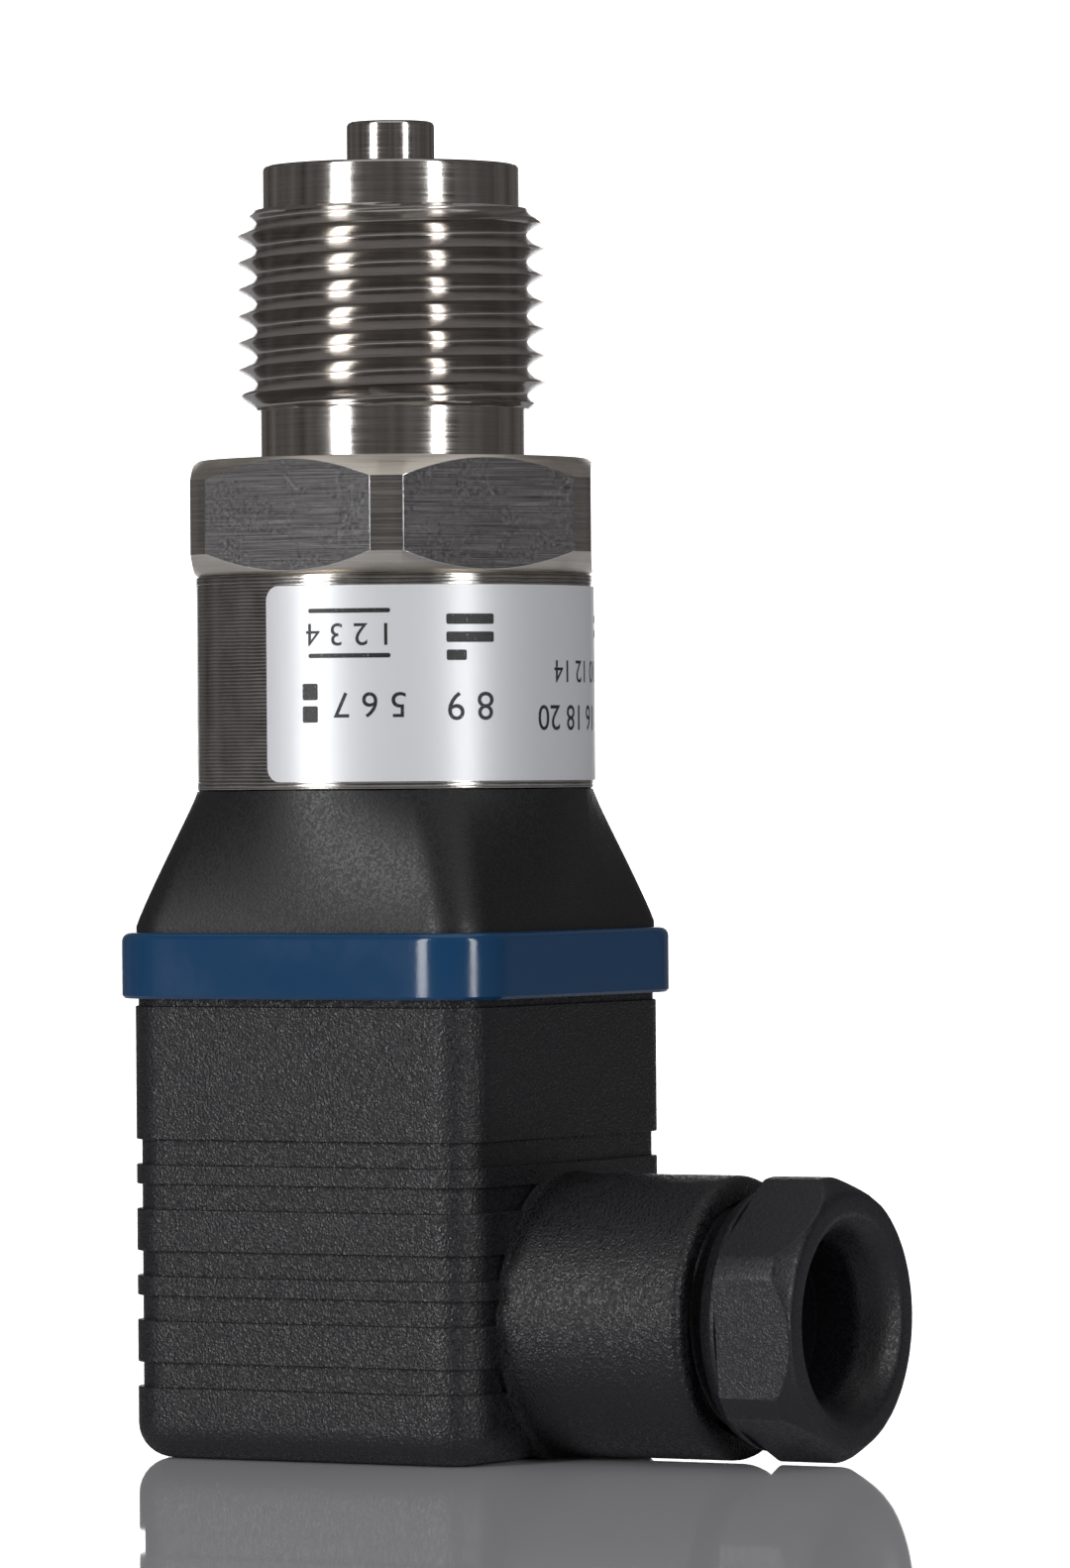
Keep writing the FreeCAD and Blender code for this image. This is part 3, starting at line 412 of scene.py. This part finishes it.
def polyester_film(name, tint):
    """Silver polyester label under matt lacquer: it spreads the softboxes into broad soft bands, over the
    slight waviness of film wrapped on a tube. The lacquer's grain is about 0.11 mm, a wave about 8 mm."""
    material, tree, shader = new_material(name, Base_Color=colour(tint), Metallic=0.25, Coat_Weight=0.3,
                                          Coat_Roughness=0.28)
    where = add(tree, "TexCoord").outputs["Object"]
    lacquer = add(tree, "TexNoise", {"Vector": where, "Scale": 9000.0, "Detail": 2.0}).outputs["Fac"]
    gloss = add(tree, "MapRange", {"Value": lacquer, "To Min": 0.33, "To Max": 0.45})
    tree.links.new(gloss.outputs["Result"], shader.inputs["Roughness"])
    wave = add(tree, "TexNoise", {"Vector": where, "Scale": 130.0, "Detail": 2.0}).outputs["Fac"]
    uneven = add(tree, "Math", {0: lacquer, 1: 0.04, 2: wave}, operation="MULTIPLY_ADD").outputs["Value"]
    skin = add(tree, "Bump", {"Height": uneven, "Strength": 1.0, "Distance": 0.03 * MM})
    tree.links.new(skin.outputs["Normal"], shader.inputs["Normal"])
    return material


def thermal_print(name, tint):
    """Resin ribbon print on the label: soft black with pinholes, about 0.17 mm, where the ribbon missed."""
    material, tree, shader = new_material(name)
    where = add(tree, "TexCoord").outputs["Object"]
    speck = add(tree, "TexNoise", {"Vector": where, "Scale": 6000.0, "Detail": 2.0}).outputs["Fac"]
    missed = add(tree, "MapRange", {"Value": speck, "From Min": 0.62, "From Max": 0.75})
    tone = add(tree, "Mix", {"Factor": missed.outputs["Result"],
                              6: colour(tint), 7: colour("7C7D80")}, data_type="RGBA").outputs[2]
    tree.links.new(tone, shader.inputs["Base Color"])
    gloss = add(tree, "MapRange", {"Value": speck, "To Min": 0.35, "To Max": 0.6})
    tree.links.new(gloss.outputs["Result"], shader.inputs["Roughness"])
    ribbon = add(tree, "Bump", {"Height": speck, "Strength": 1.0, "Distance": 0.004 * MM})
    tree.links.new(ribbon.outputs["Normal"], shader.inputs["Normal"])
    return material


def polished_acrylic(name, tint):
    """Polished acrylic table: at this low angle it mirrors the bright backdrop, and the instrument in it
    shows as a grey double, a little blurred by the sheet's faint waviness, about 40 mm long. From below it
    is clear, so that the underside and what slides out below it can be seen."""
    material, tree, shader = new_material(name, Base_Color=colour(tint), Roughness=0.03)
    where = add(tree, "TexCoord").outputs["Object"]
    wave = add(tree, "TexNoise", {"Vector": where, "Scale": 25.0, "Detail": 1.0}).outputs["Fac"]
    sheet = add(tree, "Bump", {"Height": wave, "Strength": 0.2, "Distance": 0.02 * MM})
    tree.links.new(sheet.outputs["Normal"], shader.inputs["Normal"])
    below = add(tree, "NewGeometry").outputs["Backfacing"]
    clear = add(tree, "BsdfTransparent").outputs["BSDF"]
    both = add(tree, "MixShader", {0: below, 1: shader.outputs["BSDF"], 2: clear}).outputs["Shader"]
    tree.links.new(both, tree.nodes["Material Output"].inputs["Surface"])
    return material


def glass_laminate(name, tint):
    """Glass-cloth epoxy board under green lacquer: the crossing yarns show as a fine square weave."""
    material, tree, shader = new_material(name)
    where = add(tree, "TexCoord").outputs["Object"]
    warp = add(tree, "TexWave", {"Vector": where, "Scale": 320.0, "Distortion": 0.4},
               bands_direction="X").outputs["Fac"]
    weft = add(tree, "TexWave", {"Vector": where, "Scale": 320.0, "Distortion": 0.4},
               bands_direction="Y").outputs["Fac"]
    weave = add(tree, "Math", {0: warp, 1: weft}, operation="MULTIPLY").outputs["Value"]
    tone = add(tree, "Mix", {"Factor": weave,
                              6: colour(tint), 7: colour("2F6B45")}, data_type="RGBA").outputs[2]
    tree.links.new(tone, shader.inputs["Base Color"])
    gloss = add(tree, "MapRange", {"Value": weave, "To Min": 0.28, "To Max": 0.42})
    tree.links.new(gloss.outputs["Result"], shader.inputs["Roughness"])
    cloth = add(tree, "Bump", {"Height": weave, "Strength": 1.0, "Distance": 0.01 * MM})
    tree.links.new(cloth.outputs["Normal"], shader.inputs["Normal"])
    return material


# The finishes, from the top of the instrument down
STEEL = turned_stainless("turned_stainless_steel", "BFBBB7", 0.11, (0.09, 0.19), 0.0025, painted_mark_shade=0.1)
THREAD_STEEL = turned_stainless("thread_cut_stainless_steel", "BFBAB5", 0.07, (0.1, 0.22), 0.0025,
                                painted_mark_shade=0.2)
BAR_STEEL = turned_stainless("coarse_turned_stainless_steel", "E3DCD2", 0.16, (0.26, 0.4), 0.02, painted_mark_shade=0.2)
CORNER_STEEL = turned_stainless("bright_drawn_bar_corner", "CBC6C0", 0.14, (0.15, 0.25), 0.004, painted_mark_shade=0.3)
# The tube's dark tint is the painted shade in its rib bottoms, together with its worn patches
TUBE_STEEL = ribbed_stainless("skimmed_stainless_tube", ("83807C", "ECE9E4"), 0.24, (0.12, 0.24), 0.01)
MILLED = milled_stainless("drawn_stainless_flat", ("9C9CA0", "ECECEF"), (0.105, 0.165))
FILM = polyester_film("silver_polyester_label", "DFE1E5")
INK = thermal_print("thermal_transfer_print", "1A1A1C")
BLACK = moulded_polyamide("spark_eroded_polyamide", "0D0D12", 0.17, 0.065, (0.27, 0.6))
BASE_BLACK = moulded_polyamide("fine_grained_polyamide", "0F0F13", 0.15, 0.01, (0.4, 0.54))
NUT_BLACK = moulded_polyamide("smooth_moulded_polyamide", "15151A", 0.18, 0.022, (0.33, 0.56))
BLUE = moulded_rubber("blue_silicone_rubber", "133D62", 0.8, 0.009, (0.13, 0.22))
RUBBER = moulded_rubber("black_nitrile_rubber", "0D0D0E", 0.3, 0.01, (0.45, 0.6))
RED_SEAL = moulded_rubber("brown_fluorocarbon_rubber", "3A1E17", 0.3, 0.01, (0.4, 0.55))
TIN = plated_metal("matt_tin_on_brass", "C9C7C1", (0.26, 0.4), 0.15, 0.004)
BRASS = plated_metal("turned_bare_brass", "C9A45C", (0.2, 0.34), 0.1, 0.004)
ZINC = plated_metal("bright_zinc_on_steel", "C3C6CA", (0.16, 0.3), 0.2, 0.004)
GILT = plated_metal("hard_gold_on_pins", "E0B862", (0.12, 0.24), 0.1, 0.002)
LAMINATE = glass_laminate("green_glass_epoxy_laminate", "14452B")
PACKAGE = moulded_polyamide("filled_epoxy_package", "1D1D1F", 0.15, 0.008, (0.45, 0.6))


# ---------------------------------------------------------------- the instrument's pieces

def keep(made, body, slot, *nodes):
    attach(made, body)
    if nodes:
        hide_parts(*nodes)
    return made


def make_port():
    """Process connection: one turning with pin, nose, undercut and milled hexagon, and its thread."""
    face, corner = 13.25, 14.997
    bm = bmesh.new()
    spin_closed(bm, soft_profile([
        (1.5, PIN_TOP, 0.15), (3.0, PIN_TOP, 0.4), (3.0, NOSE_TOP, 0.25), (8.75, NOSE_TOP, 0.35),
        (8.75, THREAD_TOP - 0.2), (8.6, THREAD_TOP - 0.4), (8.6, THREAD_FOOT + 0.4), (9.0, THREAD_FOOT + 0.2),
        (9.0, HEX_TOP, 0.3), (face, HEX_TOP, 0.06), (corner, HEX_TOP - 1.45), (corner, HEX_FOOT + 1.45),
        (face, HEX_FOOT, 0.06), (12.45, HEX_FOOT), (12.45, 56.0), (10.5, 56.0), (10.5, 59.1),
        (9.55, 59.1), (9.55, 65.1), (1.5, 65.1)]))
    cut_flats(bm, TUBE_RADIUS, 29.25, 1)
    edges = [edge for edge in bm.edges if {face.material_index for face in edge.link_faces} == {0, 1}]
    bmesh.ops.bevel(bm, geom=edges, offset=0.035 * MM, affect="EDGES", segments=2, profile=0.5, material=-1)
    bm.normal_update()
    for face in bm.faces:
        middle = face.calc_center_median() / MM
        if face.material_index == 0 and HEX_FOOT < middle.z < HEX_TOP:
            face.material_index = 2 if abs(face.normal.z) > 0.3 else 3
    keep(finish_mesh("process_port_turning", bm, [STEEL, MILLED, BAR_STEEL, CORNER_STEEL], sharp=20.0),
         "transmitter", "stainless_steel", "process_port")
    bm = bmesh.new()
    helix_solid(bm, THREAD_FOOT, THREAD_TOP, THREAD_RADIUS, THREAD_PITCH, 1.22, 1.6, 72.4, (1.15, 1.15))
    keep(finish_mesh("process_thread", bm, [THREAD_STEEL], sharp=50.0), "transmitter", "stainless_steel")


def make_tube():
    bm = bmesh.new()
    spin_closed(bm, soft_profile([
        (12.5, TUBE_FOOT), (TUBE_RADIUS, TUBE_FOOT, 0.1), (TUBE_RADIUS, TUBE_FOOT + 0.5),
        (TUBE_RADIUS - 0.03, TUBE_FOOT + 0.53), (TUBE_RADIUS - 0.03, HEX_FOOT - 0.53),
        (TUBE_RADIUS, HEX_FOOT - 0.5), (TUBE_RADIUS, HEX_FOOT, 0.12), (12.5, HEX_FOOT)]), steps=192)
    keep(finish_mesh("housing_tube_shell", bm, [TUBE_STEEL], sharp=25.0),
         "transmitter", "stainless_steel", "housing_tube")


def make_plug_base():
    """Moulded base: a square lip that flows into the round tube."""
    rings = [rounded_square(2.6, 2.59, 39.4), rounded_square(2.6, 2.59, BASE_FACE)]
    rings += [rounded_square(13.1, 3.0, BASE_FACE), rounded_square(13.1, 3.0, GASKET_TOP)]
    rings += [rounded_square(13.7, 3.2, GASKET_TOP), rounded_square(13.7, 3.2, 35.82)]
    levels = 16
    foot, head = rounded_square(13.68, 3.2, 35.92), rounded_square(13.48, 13.4, 44.92)
    for level in range(levels + 1):
        t = level / levels
        ring = []
        for low, high in zip(foot, head):
            turned = Vector((low.x, low.y, 0)).normalized()
            reach = low.xy.length * (1 - t ** 1.08) + high.xy.length * t ** 1.08
            ring.append(turned * reach + Vector((0, 0, low.z + (high.z - low.z) * t)))
        rings.append(ring)
    rings += [rounded_square(13.4, 13.3, TUBE_FOOT), rounded_square(12.45, 12.4, TUBE_FOOT),
              rounded_square(12.45, 12.4, 49.0)]
    bm = bmesh.new()
    ring_stack(bm, rings)
    keep(finish_mesh("plug_base_moulding", bm, [BASE_BLACK], sharp=25.0),
         "transmitter", "black_polyamide", "plug_base")


def make_gasket():
    """Profile gasket: a flat web and an upstanding collar with soft edges."""
    rings = [rounded_square(3.5, 3.49, SOCKET_TOP), rounded_square(14.6, 4.4, SOCKET_TOP),
             rounded_square(14.8, 4.6, SOCKET_TOP + 0.2)]
    for step in range(7):
        angle = math.pi / 2 * step / 6
        shrink = 0.6 * (1 - math.cos(angle))
        rings.append(rounded_square(14.8 - shrink, 4.6 - shrink, GASKET_TOP - 0.6 + 0.6 * math.sin(angle)))
    rings += [rounded_square(13.35, 3.15, GASKET_TOP), rounded_square(13.2, 3.0, GASKET_TOP - 0.15),
              rounded_square(13.2, 3.0, BASE_FACE), rounded_square(3.5, 3.49, BASE_FACE)]
    bm = bmesh.new()
    ring_stack(bm, rings, closed=True)
    keep(finish_mesh("profile_gasket_moulding", bm, [BLUE], sharp=40.0),
         "transmitter", "blue_silicone", "profile_gasket")


def make_socket():
    """Cable socket: one moulding with grip ribs, a hollow for the contacts and the gland boss."""
    half, corner, foot = SOCKET_HALF, 3.0, 2.4
    rings = [rounded_square(1.75, 1.74, 6.5), rounded_square(1.75, 1.74, 4.2),
             rounded_square(3.2, 3.19, 4.2), rounded_square(3.2, 3.19, 0.15),
             rounded_square(3.35, 3.34, 0.0)]
    for step in range(9):
        angle = math.pi / 2 * step / 8
        shrink = foot * (1 - math.sin(angle))
        rings.append(rounded_square(half - shrink, corner - shrink, foot * (1 - math.cos(angle))))
    soft, groove, groove_width, rim, rim_level = 0.06, 0.37, 1.66, 0.2, 30.5

    def outside(inset, height):
        return rounded_square(half - inset, corner - inset, height)

    for top in (6.5, 11.0, 14.0, 18.5, 21.5):
        low = top - groove_width
        rings += [outside(0, low - soft), outside(soft, low), outside(groove, low),
                  outside(groove, top), outside(soft, top), outside(0, top + soft)]
    rings += [outside(0, rim_level - soft), outside(soft, rim_level), outside(rim, rim_level),
              outside(rim, SOCKET_TOP), rounded_square(11.9, 1.2, SOCKET_TOP),
              rounded_square(11.9, 1.2, 2.5), rounded_square(5.0, 4.99, 2.5),
              rounded_square(5.0, 4.99, 6.5)]
    bm = bmesh.new()
    ring_stack(bm, rings, closed=True)
    housing = finish_mesh("cable_socket_moulding", bm, [BLACK], sharp=25.0)

    out = Matrix.Translation((0, 0, GLAND_HEIGHT * MM)) @ Matrix.Rotation(math.pi / 2, 4, "Y")
    bm = bmesh.new()
    spin_closed(bm, soft_profile([(0, 12.6), (10.1, 12.6), (10.1, 13.7), (9.65, 13.85), (9.5, 14.3),
                                  (9.5, 27.0, 0.9), (0, 27.0)], steps=6), steps=128)
    # The collar at the boss's root ends level with the socket's flat back
    cut = bmesh.ops.bisect_plane(bm, geom=bm.verts[:] + bm.edges[:] + bm.faces[:], dist=1e-8,
                                 plane_co=((GLAND_HEIGHT - 0.05) * MM, 0, 0), plane_no=(1, 0, 0),
                                 clear_outer=True)
    rim = [item for item in cut["geom_cut"] if isinstance(item, bmesh.types.BMEdge)]
    bmesh.ops.edgeloop_fill(bm, edges=rim)
    boss = finish_mesh("gland_boss", bm, [BLACK], sharp=25.0, place=out)
    combined(housing, boss, "UNION")
    bm = bmesh.new()
    spin_closed(bm, [(0, 6.0), (5.0, 6.0), (5.0, 16.5), (7.65, 16.5), (7.65, 26.7), (7.95, 27.0),
                     (7.95, 28.0), (0, 28.0)], steps=96)
    bore = finish_mesh("gland_bore", bm, [BLACK], place=out)
    combined(housing, bore, "DIFFERENCE")
    housing.data.set_sharp_from_angle(angle=math.radians(25.0))
    keep(housing, "cable_socket", "black_polyamide", "socket_housing")


def make_gland_nut():
    """Gland nut: threaded shank, collar, hexagon with a conical front and a funnel for the cable."""
    out = (Matrix.Translation((0, 0, GLAND_HEIGHT * MM)) @ Matrix.Rotation(math.pi / 2, 4, "Y")
           @ Matrix.Rotation(math.radians(5.7), 4, "Z"))
    bm = bmesh.new()
    spin_closed(bm, soft_profile([
        (5.4, 29.25), (9.5, 29.25, 0.2), (9.5, 33.7, 0.3), (8.5, 35.0, 0.35), (7.0, 35.0, 0.35),
        (6.1, 34.1, 0.5), (5.3, 32.4, 0.4), (5.3, 30.0)], steps=5), steps=120)
    cut_flats(bm, 8.6, 30.0, 0)
    edges = [edge for edge in bm.edges if len(edge.link_faces) == 2 and edge.calc_face_angle() > 0.3
             and min(math.hypot(v.co.x, v.co.y) for v in edge.verts) > 8.3 * MM]
    bmesh.ops.bevel(bm, geom=edges, offset=0.09 * MM, affect="EDGES", segments=2, profile=0.5, material=-1)
    spin_closed(bm, soft_profile([(5.35, 28.0), (8.3, 28.0, 0.15), (8.8, 29.0, 0.1), (8.8, 29.3),
                                  (5.35, 29.3)]), steps=120)
    hexagon = finish_mesh("gland_nut_moulding", bm, [NUT_BLACK], sharp=25.0, place=out)
    keep(hexagon, "gland_cap", "nut_polyamide", "gland_nut")
    bm = bmesh.new()
    helix_solid(bm, 22.5, 28.2, 7.6, 1.41, 0.75, 1.3, 23.0, (0.6, 0.0), per_turn=64)
    shank = finish_mesh("gland_nut_thread", bm, [NUT_BLACK], sharp=45.0, place=out)
    bm = bmesh.new()
    spin_closed(bm, [(0, 22.0), (5.3, 22.0), (5.3, 29.0), (0, 29.0)], steps=96)
    combined(shank, finish_mesh("shank_bore", bm, [NUT_BLACK], place=out), "DIFFERENCE")
    keep(shank, "gland_cap", "nut_polyamide")


def rounded_plate(width, height, corner, steps=8):
    """The outline of a rectangle with rounded corners, centred on the origin."""
    points = []
    for quarter, (across, up) in enumerate(((1, -1), (1, 1), (-1, 1), (-1, -1))):
        for step in range(steps + 1):
            angle = math.pi / 2 * (quarter - 1 + step / steps)
            points.append((across * (width / 2 - corner) + corner * math.cos(angle),
                           up * (height / 2 - corner) + corner * math.sin(angle)))
    return points


def flat_numbers(digits, tall):
    """Plain numbers as flat faces, tall in millimetres, centred, in the plane that wrap_flat takes."""
    data = bpy.data.curves.new("numbers", "FONT")
    data.body = digits
    data.size = tall / 0.7
    data.align_x = "CENTER"
    data.align_y = "CENTER"
    data.resolution_u = 4
    written = bpy.data.objects.new("numbers", data)
    scene.collection.objects.link(written)
    bpy.context.view_layer.update()
    mesh = bpy.data.meshes.new_from_object(written.evaluated_get(bpy.context.evaluated_depsgraph_get()))
    bpy.data.objects.remove(written)
    bm = bmesh.new()
    bm.from_mesh(mesh)
    bpy.data.meshes.remove(mesh)
    bmesh.ops.remove_doubles(bm, verts=bm.verts, dist=1e-4)
    bmesh.ops.rotate(bm, verts=bm.verts, matrix=Matrix.Rotation(math.pi / 2, 3, "X"))
    return bm


def flat_plate(outline):
    bm = bmesh.new()
    bm.faces.new([bm.verts.new((across, 0, up)) for across, up in outline])
    return bm


def make_label():
    """Silver label with rounded corners, and a generic print on it that stands head down."""
    film = flat_plate(rounded_plate(math.radians(240.0) * TUBE_RADIUS, LABEL_HIGH - LABEL_LOW, 1.0))
    wrap_flat(film, LABEL_BACK, LABEL_FRONT, 22.0, (LABEL_LOW + LABEL_HIGH) / 2)
    keep(finish_mesh("rating_label_film", film, [FILM], sharp=30.0),
         "transmitter", "label_film", "rating_label")

    printed = bmesh.new()
    for digits, tall, along, height in (
            ("1 2 3 4", 1.5, -72.0, 55.4), ("5 6 7", 1.7, -66.0, 50.7), ("8 9", 1.9, -37.0, 50.6),
            ("10 12 14", 1.5, 9.0, 52.9), ("16 18 20", 1.7, 4.0, 49.8), ("24 30", 1.5, 50.0, 52.9),
            ("36 40", 1.7, 48.0, 49.8)):
        part = flat_numbers(digits, tall)
        wrap_flat(part, LABEL_FRONT - 0.01, LABEL_FRONT + 0.012, along, height, flip=True)
        gathered(printed, part)
    for wide, tall, along, height in (
            (5.6, 0.3, -72.0, 56.9), (5.6, 0.3, -72.0, 53.9), (1.1, 1.1, -83.5, 51.5),
            (1.1, 1.1, -83.5, 50.0),
            (3.4, 0.7, -37.0, 56.3), (3.4, 0.7, -37.0, 55.1), (1.4, 0.7, -41.2, 53.9), (9.0, 0.5, 44.0, 56.4),
            (7.0, 0.5, 39.8, 55.4)):
        part = flat_plate(rounded_plate(wide, tall, 0.12, steps=3))
        wrap_flat(part, LABEL_FRONT - 0.01, LABEL_FRONT + 0.012, along, height)
        gathered(printed, part)
    keep(finish_mesh("label_print", printed, [INK], sharp=30.0), "transmitter", "label_film")


make_port()
make_tube()
make_plug_base()
make_gasket()
make_socket()
make_gland_nut()
make_label()


def dress(material, *nodes):
    """Gives solid-model pieces that keep their shape a material."""
    for name in nodes:
        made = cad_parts[name]
        for slot in made.material_slots:
            slot.material = material
        if not made.material_slots:
            made.data.materials.append(material)


dress(TIN, "contact_blade_1", "contact_blade_2", "contact_blade_3", "earth_blade",
      "socket_contact_1", "socket_contact_2", "socket_contact_3", "earth_contact")
dress(BRASS, "insert_nut")
dress(GILT, "sensor_pins")
dress(ZINC, "terminal_screws", "gland_washer", "fixing_screw")
dress(RUBBER, "gland_bush", "screw_seal", "base_o_ring")
dress(RED_SEAL, "sensor_o_ring")
dress(NUT_BLACK, "contact_carrier")
dress(LAMINATE, "circuit_board")
dress(PACKAGE, "board_components")
dress(STEEL, "sensor_capsule", "sensor_retainer")


# ---------------------------------------------------------------- floor, light and camera

VIEW = math.radians(30.2)
TO_CAMERA = Vector((math.sin(VIEW), -math.cos(VIEW), 0))
TO_RIGHT = Vector((math.cos(VIEW), math.sin(VIEW), 0))


def studio_direction(angle):
    """A level direction at an angle in degrees from the camera's, positive to the picture's right."""
    turn = math.radians(angle)
    return TO_CAMERA * math.cos(turn) + TO_RIGHT * math.sin(turn)


def strip_light(name, angle, distance, width, height, centre, radiance):
    data = bpy.data.lights.new(name, "AREA")
    data.shape = "RECTANGLE"
    data.size = width
    data.size_y = height
    data.energy = radiance * math.pi * width * height
    lamp = bpy.data.objects.new(name, data)
    scene.collection.objects.link(lamp)
    lamp.location = studio_direction(angle) * distance + Vector((0, 0, centre))
    lamp.rotation_euler = (Vector((0, 0, centre)) - lamp.location).to_track_quat("-Z", "Y").to_euler()
    return lamp


def make_studio():
    bm = bmesh.new()
    bmesh.ops.create_grid(bm, x_segments=1, y_segments=1, size=12.0)
    floor = finish_mesh("studio_floor", bm, [FLOOR], place=Matrix.Translation((0, 0, -0.01 * MM)))
    strip_light("left_softbox", -45.0, 1.2, 0.33, 1.0, 0.5, 9.5)
    strip_light("right_softbox", 41.0, 1.2, 0.2, 1.0, 0.5, 9.5)
    top = strip_light("overhead_softbox", 0.0, 0.001, 1.2, 1.2, 1.2, 0.55)
    top.location = (0, 0, 1.2)
    top.rotation_euler = (0, 0, VIEW)

    world = bpy.data.worlds.new("studio")
    scene.world = world
    world.use_nodes = True
    tree = world.node_tree
    tree.nodes.clear()
    way = add(tree, "TexCoord").outputs["Generated"]
    away = add(tree, "VectorMath", {0: way, 1: -TO_CAMERA}, operation="DOT_PRODUCT").outputs["Value"]
    card = add(tree, "MapRange", {"Value": away, "From Min": math.cos(math.radians(17.0)),
                                  "From Max": math.cos(math.radians(13.0))}, interpolation_type="SMOOTHSTEP")
    # The room beyond the softboxes: dark curtains and paler gaps, all upright, that streak the steel
    flat = add(tree, "SeparateXYZ", {"Vector": way})
    bearing = add(tree, "Math", {0: flat.outputs["Y"], 1: flat.outputs["X"]},
                  operation="ARCTAN2").outputs["Value"]
    folds = add(tree, "TexNoise", {"W": bearing, "Scale": 4.5, "Detail": 4.0, "Roughness": 0.6},
                noise_dimensions="1D").outputs["Fac"]
    room = add(tree, "MapRange", {"Value": folds, "From Min": 0.3, "From Max": 0.7})
    curtain, gap = (0.05, 0.046, 0.044, 1.0), (0.18, 0.172, 0.168, 1.0)
    dim = add(tree, "Mix", {"Factor": room.outputs["Result"], 6: curtain, 7: gap},
              data_type="RGBA").outputs[2]
    seen = add(tree, "LightPath").outputs["Is Camera Ray"]
    either = add(tree, "Math", {0: card.outputs["Result"], 1: seen}, operation="MAXIMUM")
    backdrop = (1.9, 1.9, 1.9, 1.0)
    shade = add(tree, "Mix", {"Factor": either.outputs["Value"], 6: dim, 7: backdrop},
                data_type="RGBA").outputs[2]
    back = add(tree, "Background", {"Color": shade, "Strength": 1.0})
    out = tree.nodes.new("ShaderNodeOutputWorld")
    tree.links.new(back.outputs["Background"], out.inputs["Surface"])


def make_camera():
    data = bpy.data.cameras.new("camera")
    data.lens = 219.6
    data.sensor_width = 36.0
    camera = bpy.data.objects.new("camera", data)
    scene.collection.objects.link(camera)
    centre = TO_RIGHT * 9.48 * MM + Vector((0, 0, 45.25 * MM))
    distance = 0.65
    camera.location = centre + TO_CAMERA * distance
    level = (-TO_CAMERA).to_track_quat("-Z", "Y")
    camera.rotation_euler = (level @ Quaternion((0, 0, 1), math.radians(-0.45))).to_euler()
    data.clip_start = 0.01
    data.clip_end = 100.0
    scene.camera = camera


FLOOR = polished_acrylic("white_acrylic_sheet", "E6E7EC")
scene.view_settings.view_transform = "Standard"
make_studio()
make_camera()
